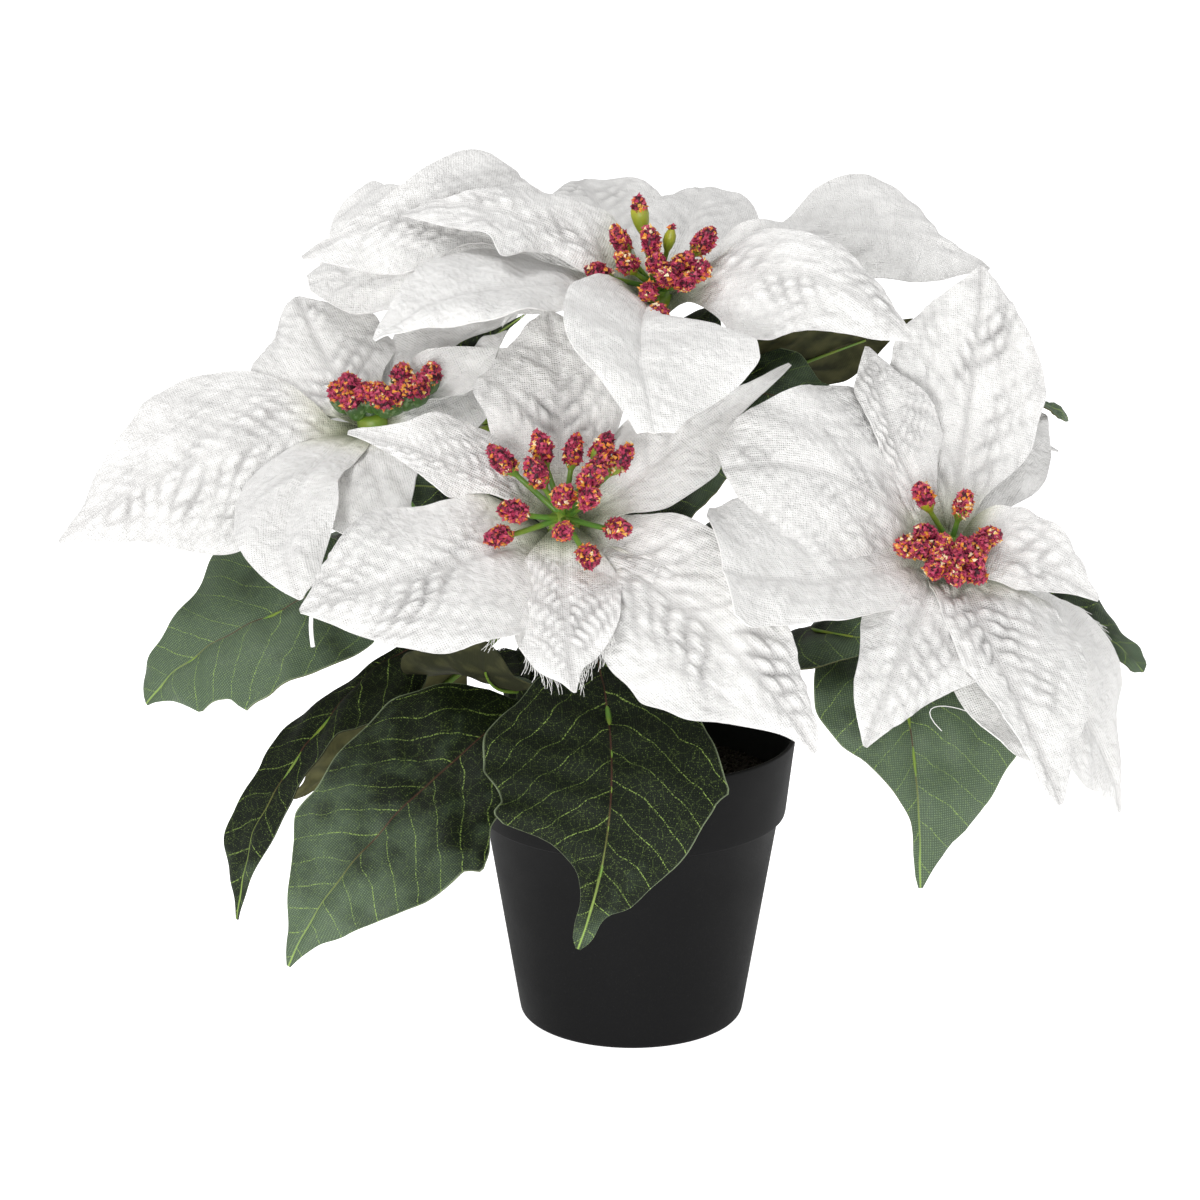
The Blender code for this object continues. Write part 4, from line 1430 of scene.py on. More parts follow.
@dataclass(frozen=True)
class FlowerHead:
    """One stalk with its cup and its core of glue, which carries the crumbs."""

    start: np.ndarray
    end: np.ndarray
    way: np.ndarray
    axis: np.ndarray
    kind: HeadKind
    seed: int

    def build(self, stalks: MeshParts, cores: MeshParts) -> None:
        """Add the head to the bloom's parts.

        Args:
            stalks: Takes the stalk and the cup.
            cores: Takes the core that crumbs are strewn on.
        """
        random = np.random.default_rng(self.seed)
        cup, comb, sides = self.kind.value, self.kind is HeadKind.COMB, 16
        way = unit(self.way * 0.3 + self.axis) if comb else unit(self.way + self.axis * 0.25)
        neck = self.end - way * cup.neck
        bend = self.start + (neck - self.start) * 0.5 + self.axis * random.uniform(-1.2, 0.6)
        stalk = bezier([self.start, bend, neck], 10)
        chance = random.uniform(0.15, 0.5)
        thin = chance if cup.thin is None else cup.thin
        shell = neck + np.array(cup.rise)[:, None] * way
        path = np.concatenate([stalk, shell])
        radii = np.concatenate([np.full(10, STALK_RADIUS) * np.linspace(1.1, 0.95, 10), cup.flare])
        ribs = 1.0 + (0.09 if comb else 0.05) * np.sin(np.arange(sides) * TURN / sides * 4.0)
        squash = np.ones((len(path), sides))
        squash[10:] = ribs
        points, faces = swept(path, radii, sides, squash)
        along = np.concatenate([np.linspace(0.0, 0.3, 10), np.linspace(0.4, 1.0, 6)])
        stalks.add(points, faces, 0, thin=np.repeat(along * thin, sides))
        base = shell[-1] - way * cup.sunk
        long = 0.0 if self.kind is HeadKind.TALL else random.uniform(10.2, 12.2)
        reach = HEAD_RADIUS * random.uniform(0.86, 0.98)
        long, reach = cup.core or (long, reach)
        steps = 12
        t = np.linspace(0.0, 1.0, steps)
        bulge = np.sin(np.clip(t * 0.97 + 0.03, 0.0, 1.0) ** 0.8 * math.pi) ** 0.6
        lean = unit(np.cross(way, random.normal(size=3))) * random.uniform(0.3, 1.4)
        path = base + (t * long)[:, None] * way + (t ** 2)[:, None] * lean
        angles = np.linspace(0.0, TURN, sides, endpoint=False)
        lumps = 1.0 + 0.22 * drift(self.seed, t[:, None] * 3.0, np.cos(angles) * 1.3,
                                   np.sin(angles) * 1.3)
        points, faces = swept(path, np.maximum(bulge * reach * 0.86, 0.25), sides, lumps)
        cores.add(points, faces, 0, tone=0.08)


@dataclass(frozen=True)
class LeafyStem:
    """A plastic covered stem with its leaves."""

    bloom: Bloom
    leaves: tuple[Leaf, ...]
    cell: float = LEAF_CELL

    def path(self) -> np.ndarray:
        """Follow the stem: up out of its hole, then bent to the bloom's back.

        Returns:
            Its points: the foot, eight along the bend, and the top.
        """
        axis = self.bloom.axis
        foot = np.array((*self.bloom.hole, HOLE_BOTTOM + TOUCH_GAP))
        low = np.array((*self.bloom.hole, FILLER_TOP + FILLER_CROWN + 4.0))
        end = np.array(self.bloom.hub, float) - axis * (HUB_HEIGHT * 0.5 + TOUCH_GAP)
        top = end - axis * 5.0
        rise = np.linalg.norm(top - low)
        first = low + np.array((0.0, 0.0, rise * 0.35))
        second = top - axis * rise * 0.3
        return np.concatenate([[foot], bezier([low, first, second, top], 8), [end]])

    def leaf_root(self, height: float) -> np.ndarray:
        """Where a leaf's stalk leaves the stem.

        Args:
            height: Share of the stem's free length.

        Returns:
            The point.
        """
        free = self.path()[1:]
        place = height * (len(free) - 1)
        index = min(int(place), len(free) - 2)
        return free[index] + (free[index + 1] - free[index]) * (place - index)

    def build(self, wardrobe: Wardrobe) -> bpy.types.Object:
        """Make the stem, the leaf stalks, the leaves and the ribs on their backs.

        Args:
            wardrobe: The materials.

        Returns:
            The piece.
        """
        parts = MeshParts()
        free = self.path()
        fine = np.linspace(0.0, len(free) - 1, 46)
        knots = np.arange(len(free))
        path = np.stack([np.interp(fine, knots, free[:, axis]) for axis in range(3)], axis=-1)
        path[1:-1] = (path[:-2] + path[1:-1] * 2.0 + path[2:]) / 4.0
        knobs = 1.0 + 0.05 * drift(self.bloom.seed, fine * 2.0)
        points, faces = swept(path, STEM_RADIUS * knobs, 18)
        parts.add(points, faces, 2, thin=0.1)
        for number, leaf in enumerate(self.leaves):
            self.build_leaf(parts, leaf, self.bloom.seed + 50 + number * 7)
        item = parts.to_object("leafy_stem_" + self.bloom.letter,
                               [wardrobe.leaf, wardrobe.leaf_back, wardrobe.plastic])
        return placed(item, "leaf_cloth", "stem_" + self.bloom.letter)

    def build_leaf(self, parts: MeshParts, leaf: Leaf, seed: int) -> None:
        """Add one leaf with its stalk and the wire rib glued under it.

        Args:
            parts: What takes the leaf.
            leaf: The leaf.
            seed: Seed of its small irregularities.
        """
        cloth = ClothBlade(leaf.blade, self.leaf_root(leaf.height), np.array((0.0, 0.0, 1.0)),
                           self.cell, seed)
        cloth.build(parts, 0, 1, start=0.15, dye=leaf.dye)
        share = np.linspace(0.0, 0.8, 34)
        rib = cloth.surface(share, np.zeros_like(share))
        ahead = cloth.surface(share, np.full_like(share, 0.1)) - rib
        under = unit(np.cross(ahead, np.gradient(rib, axis=0)))
        radii = 1.15 - 0.75 * smooth((share - 0.1) / 0.7)
        depth = smooth((share - 0.08) / 0.1) * (radii + 0.75)
        path = rib + under * depth[:, None]
        points, faces = swept(path, radii, 10)
        parts.add(points, faces, 2, thin=0.25)


def rounded(radius: float, height: float, size: float, angles: tuple[float, float],
            count: int) -> list[tuple[float, float]]:
    """Round a corner of a profile.

    Args:
        radius: Radius of the arc's middle from the axis.
        height: Height of the arc's middle.
        size: Radius of the arc.
        angles: Where it begins and ends, in radians.
        count: Number of points.

    Returns:
        Radius and height of each point.
    """
    return [(radius + size * math.cos(angle), height + size * math.sin(angle))
            for angle in np.linspace(*angles, count)]


@dataclass(frozen=True)
class Pot:
    """The moulded pot with its collar, open at the top."""

    steps: int = 160

    def profile(self) -> list[tuple[float, float]]:
        """Radius and height of the wall, from the inside of the floor round to its underside."""
        lean = (RIM_RADIUS - COLLAR_RADIUS) / (POT_HEIGHT - COLLAR_BOTTOM)
        slope = (BODY_RADIUS - BASE_RADIUS) / COLLAR_BOTTOM
        half = POT_WALL * 0.5
        return [(0.0, POT_FLOOR), (BASE_RADIUS - POT_WALL - 2.0, POT_FLOOR),
                (BASE_RADIUS - POT_WALL, POT_FLOOR + 2.0),
                (BODY_RADIUS - POT_WALL, COLLAR_BOTTOM - 2.0),
                (COLLAR_RADIUS - POT_WALL, COLLAR_BOTTOM + 2.0),
                (RIM_RADIUS - POT_WALL - 0.1, POT_HEIGHT - 1.2),
                *rounded(RIM_RADIUS - half, POT_HEIGHT - half, half, (math.pi, 0.0), 9),
                *((COLLAR_RADIUS + lean * height, COLLAR_BOTTOM + height)
                  for height in (22.0, 14.0, 6.0, 1.6)),
                *rounded(COLLAR_RADIUS - 0.7, COLLAR_BOTTOM + 0.7, 0.7, (0.0, -math.pi / 2), 5),
                (BODY_RADIUS + 0.25, COLLAR_BOTTOM), (BODY_RADIUS, COLLAR_BOTTOM - 0.3),
                *((BASE_RADIUS + slope * height, height) for height in (60.0, 40.0, 20.0, 5.0)),
                *rounded(BASE_RADIUS - 2.0, 2.3, 2.3, (-0.15, -math.pi / 2), 7), (0.0, 0.0)]

    def build(self, wardrobe: Wardrobe) -> bpy.types.Object:
        """Turn the profile into the pot.

        Args:
            wardrobe: The materials.

        Returns:
            The piece.
        """
        item = turned("moulded_pot", self.profile(), self.steps)
        item.data.materials.append(wardrobe.pot)
        return placed(item, "pot_plastic", "pot")


def turned(name: str, profile: list[tuple[float, float]], steps: int) -> bpy.types.Object:
    """Spin a profile, which runs from inside over the rim to the outside, into a closed body.

    Args:
        name: Name of the object.
        profile: Radius and height of each point.
        steps: Number of sides.

    Returns:
        The object.
    """
    mesh = bpy.data.meshes.new(name)
    mesh.from_pydata([(radius * MM, 0.0, height * MM) for radius, height in profile],
                     [(number, number + 1) for number in range(len(profile) - 1)], [])
    item = bpy.data.objects.new(name, mesh)
    bpy.context.scene.collection.objects.link(item)
    screw = item.modifiers.new("turn", "SCREW")
    screw.steps = screw.render_steps = steps
    screw.use_merge_vertices = True
    screw.merge_threshold = 0.01 * MM
    screw.use_normal_calculate = True
    graph = bpy.context.evaluated_depsgraph_get()
    item.data = bpy.data.meshes.new_from_object(item.evaluated_get(graph), depsgraph=graph)
    item.modifiers.clear()
    item.data.shade_smooth()
    item.data.set_sharp_from_angle(angle=math.radians(35.0))
    return item


@dataclass(frozen=True)
class Plug:
    """The cast plug that fills the pot and holds the stems."""

    steps: int = 72

    def build(self, wardrobe: Wardrobe, recipe: GritRecipe) -> bpy.types.Object:
        """Turn the plug, roughen its top and strew it with grit.

        Args:
            wardrobe: The materials.
            recipe: The tree that strews grit.

        Returns:
            The piece.
        """
        wall = POT_WALL + TOUCH_GAP
        lean = (RIM_RADIUS - COLLAR_RADIUS) / (POT_HEIGHT - COLLAR_BOTTOM)
        edge = COLLAR_RADIUS - wall + lean * (FILLER_TOP - COLLAR_BOTTOM)
        rings = [(edge * share, FILLER_TOP + FILLER_CROWN * (1.0 - share ** 2))
                 for share in np.linspace(0.0, 1.0, 22)]
        profile = rings + [(COLLAR_RADIUS - wall, COLLAR_BOTTOM + 2.4),
                           (BODY_RADIUS - wall, COLLAR_BOTTOM - 2.0),
                           (BASE_RADIUS - wall, POT_FLOOR + 1.8),
                           (BASE_RADIUS - wall - 1.8, POT_FLOOR + TOUCH_GAP),
                           (0.0, POT_FLOOR + TOUCH_GAP)]
        item = turned("cast_plug", profile, self.steps)
        top = [vert for vert in item.data.vertices if vert.co.z > (FILLER_TOP + 0.1) * MM]
        spots = np.array([vert.co[:2] for vert in top]) / MM
        lift = 0.7 * drift(5, spots[:, 0] / 5.0, spots[:, 1] / 5.0) * (
            1.0 - smooth(np.hypot(spots[:, 0], spots[:, 1]) / edge * 3.0 - 2.0))
        for vert, height in zip(top, lift):
            vert.co.z += height * MM
        recipe.run(item, density=1.6e5, size=1.7 * MM, seed=3, material=wardrobe.plug)
        item.data.shade_smooth()
        item.data.set_sharp_from_angle(angle=math.radians(35.0))
        return placed(item, "plug", "filler")


def placed(item: bpy.types.Object, slot: str, *nodes: str) -> bpy.types.Object:
    """Let a finished piece ride on the plant's only body.

    Args:
        item: The piece.
        slot: The record's material slot of its finish; not used.
        nodes: The nodes of the frame that it stands for.

    Returns:
        The piece.
    """
    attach(item, "root")
    if nodes:
        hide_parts(*nodes)
    triangles = sum(len(face.vertices) - 2 for face in item.data.polygons)
    LOG.info("%s: %d triangles", item.name, triangles)
    return item


@dataclass(frozen=True)
class Studio:
    """Pale floor, soft lights and the camera at the photograph's viewing angle."""

    camera_place: tuple[float, float, float] = (-11.8, -1100.0, 457.8)
    pitch: float = 74.76
    lens: float = 94.28
    sensor: float = 36.0
    ambient: float = 0.54
    floor_size: float = 60.0

    def build(self) -> None:
        """Set up the floor, the world, the lights and the camera."""
        bpy.ops.mesh.primitive_plane_add(size=self.floor_size)
        floor = bpy.context.object
        floor.name = "studio_floor"
        floor.data.materials.append(StudioFloor().material("lit opal acrylic"))
        world = bpy.data.worlds.new("white studio")
        bpy.context.scene.world = world
        world.use_nodes = True
        background = world.node_tree.nodes["Background"]
        background.inputs["Color"].default_value = WHITE
        background.inputs["Strength"].default_value = self.ambient
        self.light("key", (-420.0, -150.0, 1100.0), (0.0, 0.0, 190.0), 0.35, 3.5)
        self.light("fill", (650.0, -900.0, 560.0), (0.0, 0.0, 170.0), 0.5, 1.2)
        self.light("front", (-260.0, -1180.0, 110.0), (0.0, 0.0, 200.0), 0.5, 9.0)
        self.light("strip", (1000.0, 0.0, 100.0), (0.0, 0.0, 60.0), 0.5, 1.4)
        camera = bpy.data.cameras.new("camera")
        camera.lens = self.lens
        camera.sensor_width = self.sensor
        item = bpy.data.objects.new("camera", camera)
        item.location = Vector(self.camera_place) * MM
        item.rotation_euler = (math.radians(self.pitch), 0.0, 0.0)
        bpy.context.scene.collection.objects.link(item)
        bpy.context.scene.camera = item
        bpy.context.scene.view_settings.view_transform = "Standard"

    def light(self, name: str, place: tuple[float, float, float],
              aim: tuple[float, float, float], size: float, power: float) -> None:
        """Hang one softbox.

        Args:
            name: Name of the light.
            place: Where it hangs, in millimetres.
            aim: The point that it looks at, in millimetres.
            size: Metres along each side.
            power: Watts.
        """
        lamp = bpy.data.lights.new(name, "AREA")
        lamp.shape = "SQUARE"
        lamp.size = size
        lamp.energy = power
        item = bpy.data.objects.new(name, lamp)
        item.location = Vector(place) * MM
        item.rotation_euler = (Vector(aim) - Vector(place)).to_track_quat("-Z", "Y").to_euler()
        bpy.context.scene.collection.objects.link(item)


BRACT, BROAD, BLUNT, INNER, LEAF = Cut
QUILTED, VEINED, HERRINGBONE, PLAIN, BUMPED, _ = Relief

BLOOMS = (
    Bloom("a", (8, -3, 268), (0.0, -0.5, 0.87), (0, 8), (
        Blade("left", BRACT, (-56, 4, 297), (-116, -10, 285), 66, -10, 8, 3,
              left=((0.2, 8), (0.46, 13), (0.6, 20), (0.73, 24), (0.85, 19), (0.94, 11)),
              right=((0.15, 8), (0.37, 24), (0.5, 36), (0.6, 25), (0.72, 11), (0.85, 4))),
        Blade("left under", BRACT, (-60, 22, 273), (-117, 24, 270), 44, 4, relief=PLAIN,
              left=((0.2, 12), (0.5, 22), (0.85, 20), (0.96, 12), (1.0, 6)),
              right=((0.2, 12), (0.5, 22), (0.85, 20), (0.96, 12), (1.0, 6))),
        Blade("left back", BRACT, (-56, 34, 289), (-114, 36, 274), 46, relief=PLAIN,
              left=((0.2, 12), (0.6, 22), (0.85, 12)),
              right=((0.2, 14), (0.6, 25), (0.74, 28), (0.79, 37), (0.81, 40), (0.84, 36), (0.9, 28),
                     (0.96, 12))),
        Blade("left front", BRACT, (-47, -42, 280), (-87, -70, 267), 50, 6, relief=PLAIN,
              left=((0.2, 12), (0.37, 19), (0.55, 22), (0.7, 17), (0.84, 9)),
              right=((0.18, 14), (0.36, 31), (0.46, 30), (0.59, 24), (0.73, 16), (0.87, 8)),
              frayed=((Side.LEFT, 0.4, 0.6),)),
        Blade("front", BROAD, (2, -58, 267), (6, -105, 243), 74, -12, 38, 1, PLAIN, opens=30,
              left=((0.12, 4), (0.3, 6), (0.4, 14), (0.48, 27), (0.57, 41), (0.65, 42), (0.75, 36),
                    (0.85, 25), (0.95, 12), (1.0, 7)),
              right=((0.06, 12), (0.24, 23), (0.45, 30), (0.57, 31), (0.72, 25), (0.84, 14), (0.95, 8),
                     (1.0, 6))),
        Blade("right front", BRACT, (54, -34, 284), (95, -40, 261), 62, 20, 0,
              left=((0.12, 10), (0.27, 21), (0.44, 18), (0.62, 15), (0.75, 12), (0.89, 6)),
              right=((0.06, 4), (0.2, 14), (0.33, 25), (0.45, 25), (0.6, 21), (0.87, 11))),
        Blade("right", BRACT, (74, 26, 289), (128, 20, 276), 56, 18, -4, relief=PLAIN,
              left=((0.24, 4), (0.38, 10), (0.48, 21), (0.6, 27), (0.72, 19), (0.85, 5)),
              right=((0.3, 14), (0.6, 19), (0.76, 18), (0.88, 13), (0.95, 6))),
        Blade("back left", BRACT, (-11, 38, 294), (-20, 78, 300), 50),
        Blade("back right", BRACT, (22, 38, 292), (26, 80, 297), 48, relief=PLAIN),
        Blade("inner left", INNER, (-42, -10, 300), (-81, -4, 299), 42,
              left=((0.15, 9), (0.3, 10), (0.4, 16), (0.5, 25), (0.56, 17), (0.8, 10), (0.93, 5)),
              right=((0.1, 16), (0.2, 24), (0.35, 22), (0.48, 21), (0.63, 9), (0.76, 4))),
        Blade("inner right", INNER, (42, -2, 287), (69, 2, 292), 26),
    ), ((-12, 5, 15), (-10, -3, 12), (-6, 11, 24), (-2, 0, 18), (5, 5, 21), (15, 4, 15),
        (0, -7, 14), (9, -6, 15), (9, -14, 13), (-3, -16, 11), (3, -13, 14), (0, -24, 8),
        (-19, -5, 10), (13, -9, 13), (5, -9, 14)),
        ((0, HeadKind.OCHRE), (1, HeadKind.OCHRE), (2, HeadKind.TALL), (3, HeadKind.OCHRE),
         (4, HeadKind.BUD), (5, HeadKind.OCHRE)),
        strands=(Strand(((126, 20, 278), (131, 19, 281), (137, 18, 277))),)),
    Bloom("b", (-92, -12, 226), (-0.15, -0.3, 0.94), (-16, 4), (
        Blade("left", BRACT, (-150, -30, 218), (-200, -40, 190), 72, -42, -12,
              left=((0.15, 14), (0.35, 30), (0.5, 34), (0.66, 28), (0.81, 16), (0.9, 9)),
              right=((0.09, 6), (0.14, 16), (0.22, 27), (0.32, 33), (0.45, 36), (0.56, 34), (0.68, 24),
                     (0.8, 14), (0.92, 4))),
        Blade("front", BRACT, (-115, -60, 212), (-110, -108, 188), 56, relief=PLAIN,
              left=((0.15, 10), (0.35, 12), (0.6, 17), (0.85, 11), (0.95, 7)),
              right=((0.2, 15), (0.45, 21), (0.65, 19), (0.77, 16), (0.88, 10))),
        Blade("right front", INNER, (-87, -50, 212), (-76, -82, 196), 44, relief=PLAIN,
              left=((0.2, 12), (0.4, 14), (0.55, 12), (0.7, 8)),
              right=((0.2, 14), (0.4, 24), (0.6, 25), (0.8, 17))),
        Blade("left back", INNER, (-111, 14, 246), (-123, 44, 262), 52, relief=VEINED,
              left=((0.15, 12), (0.3, 24), (0.5, 28), (0.62, 20), (0.72, 14), (0.8, 12), (0.92, 6)),
              right=((0.2, 14), (0.4, 25), (0.6, 24), (0.75, 18), (0.9, 9))),
        Blade("right back", INNER, (-68, 4, 248), (-38, 18, 266), 54, relief=PLAIN),
        Blade("right", INNER, (-66, -13, 237), (-36, -10, 253), 34, 50, relief=PLAIN),
        Blade("back", BRACT, (-95, 34, 238), (-92, 80, 232), 54),
        Blade("far left", BRACT, (-135, 22, 222), (-168, 48, 205), 54),
    ), ((-10, 4, 3), (-6, 5, 5), (-5, -3, 3), (0, -1, 4), (4, -2, 4), (7, -6, 4),
        (10, -5, 4), (13, 2, 8), (15, -4, 5), (23, 0, 8), (19, -4, 6)),
        tuple((number, HeadKind.COMB) for number in range(11))),
    Bloom("c", (-24, -72, 203), (0.0, -0.64, 0.77), (-4, -16), (
        Blade("left front", BRACT, (-66, -112, 199), (-108, -130, 190), 60, relief=HERRINGBONE,
              left=((0.14, 14), (0.4, 34), (0.6, 35), (0.74, 25), (0.9, 10)),
              right=((0.06, 15), (0.14, 25), (0.34, 28), (0.5, 32), (0.7, 25), (0.86, 15), (0.94, 6)),
              frayed=((Side.LEFT, 0.36, 0.5),)),
        Blade("right front", BRACT, (22, -112, 181), (58, -132, 143), 62, relief=VEINED,
              left=((0.1, 14), (0.25, 24), (0.45, 26), (0.6, 23), (0.69, 20), (0.77, 15), (0.83, 12),
                    (0.94, 6)),
              right=((0.1, 12), (0.3, 29), (0.45, 35), (0.56, 36), (0.67, 32), (0.8, 18), (0.91, 6))),
        Blade("right", BRACT, (11, -94, 195), (39, -102, 183), 42, 14, relief=VEINED,
              left=((0.15, 12), (0.4, 18), (0.75, 19), (0.9, 14)),
              right=((0.15, 10), (0.4, 14), (0.75, 20), (0.9, 12))),
        Blade("right back", BRACT, (18, -58, 231), (54, -30, 251), 48, relief=PLAIN,
              left=((0.2, 18), (0.5, 20), (0.66, 9), (0.84, 3)),
              right=((0.13, 9), (0.3, 17), (0.48, 17), (0.6, 7), (0.72, 5), (0.86, 3))),
        Blade("back", BRACT, (-26, -48, 243), (-30, -20, 268), 52, relief=VEINED,
              left=((0.2, 16), (0.34, 23), (0.48, 27), (0.58, 28), (0.7, 22), (0.84, 13)),
              right=((0.2, 12), (0.4, 22), (0.6, 25), (0.8, 15))),
        Blade("inner left", INNER, (-62, -70, 225), (-96, -72, 236), 40, relief=BUMPED,
              left=((0.15, 3), (0.27, 4), (0.36, 8), (0.45, 14), (0.57, 11), (0.76, 5)),
              right=((0.15, 14), (0.33, 21), (0.46, 19), (0.62, 17), (0.76, 8))),
        Blade("inner front", INNER, (-23, -112, 185), (-20, -140, 166), 42, relief=BUMPED,
              left=((0.1, 11), (0.35, 19), (0.55, 18), (0.67, 15), (0.78, 9), (0.86, 4)),
              right=((0.1, 9), (0.27, 15), (0.5, 19), (0.66, 18), (0.84, 12), (0.93, 4)),
              frayed=((Side.LEFT, 0.66, 0.94), (Side.RIGHT, 0.78, 0.92))),
    ), ((-19, 14, 10), (-7, 17, 12), (3, 17, 11), (12, 17, 13), (18, 14, 10), (-8, 6, 13),
        (10, 8, 13), (8, 3, 14), (0, -1, 11), (-15, -7, 11), (-20, -15, 9), (0, -18, 16),
        (17, -12, 9), (8, -23, 9), (8, -5, 15)),
        ((10, HeadKind.OCHRE),),
        strands=(Strand(((-104, -129, 190), (-105, -130, 185), (-104, -130, 178)), 0.75),)),
    Bloom("d", (108, -44, 187), (0.25, -0.6, 0.76), (16, -8), (
        Blade("under", BRACT, (120, -82, 150), (136, -94, 127), 26, relief=PLAIN),
        Blade("far right", BRACT, (150, -50, 144), (173, -44, 92), 54, relief=PLAIN,
              left=((0.2, 16), (0.35, 24), (0.5, 27), (0.66, 24), (0.74, 16), (0.85, 7)),
              right=((0.25, 20), (0.6, 24), (0.79, 19), (0.9, 8)),
              frayed=((Side.LEFT, 0.34, 0.5),)),
        Blade("back", BRACT, (118, -17, 237), (123, 2, 280), 58, relief=VEINED,
              left=((0.16, 14), (0.3, 29), (0.45, 32), (0.62, 31), (0.8, 20), (0.91, 9)),
              right=((0.16, 10), (0.38, 27), (0.55, 28), (0.73, 20), (0.88, 11))),
        Blade("left", BROAD, (68, -66, 219), (29, -80, 225), 68, -13, 3,
              left=((0.1, 10), (0.2, 15), (0.4, 30), (0.66, 33), (0.8, 30), (0.89, 24), (0.97, 11)),
              right=((0.1, 22), (0.23, 39), (0.34, 44), (0.49, 39), (0.74, 25), (0.9, 17), (1.0, 8))),
        Blade("left front", BLUNT, (64, -91, 190), (28, -116, 200), 50, relief=PLAIN,
              left=((0.05, 9), (0.2, 13), (0.5, 17), (0.84, 19), (0.95, 22), (1.0, 20)),
              right=((0.2, 13), (0.5, 26), (0.8, 33), (0.95, 31), (1.0, 26))),
        Blade("right front", BRACT, (123, -100, 160), (140, -120, 121), 58, relief=VEINED,
              left=((0.1, 16), (0.2, 31), (0.35, 32), (0.5, 30), (0.7, 24), (0.88, 11)),
              right=((0.15, 13), (0.4, 13), (0.54, 11), (0.66, 9), (0.8, 5), (0.93, 4))),
        Blade("front", BRACT, (90, -95, 168), (75, -120, 141), 50, relief=VEINED,
              left=((0.15, 14), (0.38, 25), (0.5, 28), (0.6, 21), (0.73, 13), (0.9, 5)),
              right=((0.15, 14), (0.44, 18), (0.62, 14), (0.76, 12), (0.93, 4))),
        Blade("right back", BRACT, (130, -6, 213), (151, 22, 222), 38, relief=PLAIN),
        Blade("inner back", INNER, (90, -40, 226), (81, -24, 256), 36, relief=BUMPED,
              left=((0.2, 9), (0.4, 8), (0.6, 8), (0.76, 9), (0.86, 6)),
              right=((0.15, 6), (0.3, 12), (0.46, 21), (0.67, 18), (0.86, 9))),
        Blade("inner right", INNER, (136, -60, 188), (159, -62, 175), 42, 20,
              left=((0.05, 12), (0.2, 20), (0.5, 17), (0.65, 13), (0.8, 8)),
              right=((0.08, 8), (0.22, 10), (0.46, 11), (0.85, 4))),
    ), ((-13, 7, 11), (0, 6, 11), (-13, -6, 9), (-7, -10, 10), (-1, -11, 11), (4, -9, 11),
        (8, -5, 10), (-10, -20, 9), (-4, -21, 9), (3, -19, 9), (-18, -11, 7), (-3, -15, 11),
        (2, -15, 11), (-8, -15, 11), (-14, -13, 9)),
        ((0, HeadKind.OCHRE),),
        strands=(Strand(((104, -84, 135), (90, -90, 150), (112, -90, 146), (117, -88, 140))),)),
    Bloom("e", (65, 65, 191), (0.2, 0.25, 0.95), (12, 12), (
        Blade("right", BRACT, (116, 68, 204), (163, 70, 198), 56, 12),
        Blade("right back", BRACT, (98, 106, 195), (125, 148, 178), 58, 12, relief=VEINED),
        Blade("back", BRACT, (64, 118, 193), (68, 166, 176), 60, 12),
        Blade("left back", BRACT, (36, 100, 198), (20, 132, 184), 54, 12, relief=VEINED),
        Blade("inner right", INNER, (94, 54, 203), (118, 44, 211), 40),
        Blade("inner back", INNER, (84, 96, 200), (100, 120, 206), 38, relief=BUMPED),
        Blade("inner left", INNER, (45, 88, 202), (32, 108, 210), 36),
    ), ((-13, 2, 12), (-6, -6, 14), (7, -4, 14), (13, 4, 12), (-6, 11, 12), (6, 12, 11),
        (1, -12, 12), (0, 2, 17)), cell=BACK_CELL, crumbs=1.4e6),
    Bloom("f", (-52, 68, 204), (-0.18, 0.25, 0.95), (-12, 14), (
        Blade("left", BRACT, (-98, 82, 210), (-140, 90, 198), 58, 12),
        Blade("left back", BRACT, (-84, 112, 208), (-114, 154, 190), 58, 12, relief=VEINED),
        Blade("back", BRACT, (-46, 120, 206), (-44, 168, 186), 60, 12),
        Blade("right back", BRACT, (-20, 104, 214), (-4, 142, 208), 54, 12, relief=VEINED),
        Blade("inner front", INNER, (-36, 46, 221), (-22, 32, 234), 38),
        Blade("inner back", INNER, (-63, 100, 212), (-72, 124, 220), 38, relief=BUMPED),
        Blade("inner right", INNER, (-29, 88, 214), (-13, 102, 224), 36),
    ), ((-12, 0, 12), (-7, 8, 13), (0, -7, 14), (7, 5, 14), (13, -2, 11), (-6, -11, 11),
        (5, 12, 12), (0, 1, 17)), cell=BACK_CELL, crumbs=1.4e6),
)
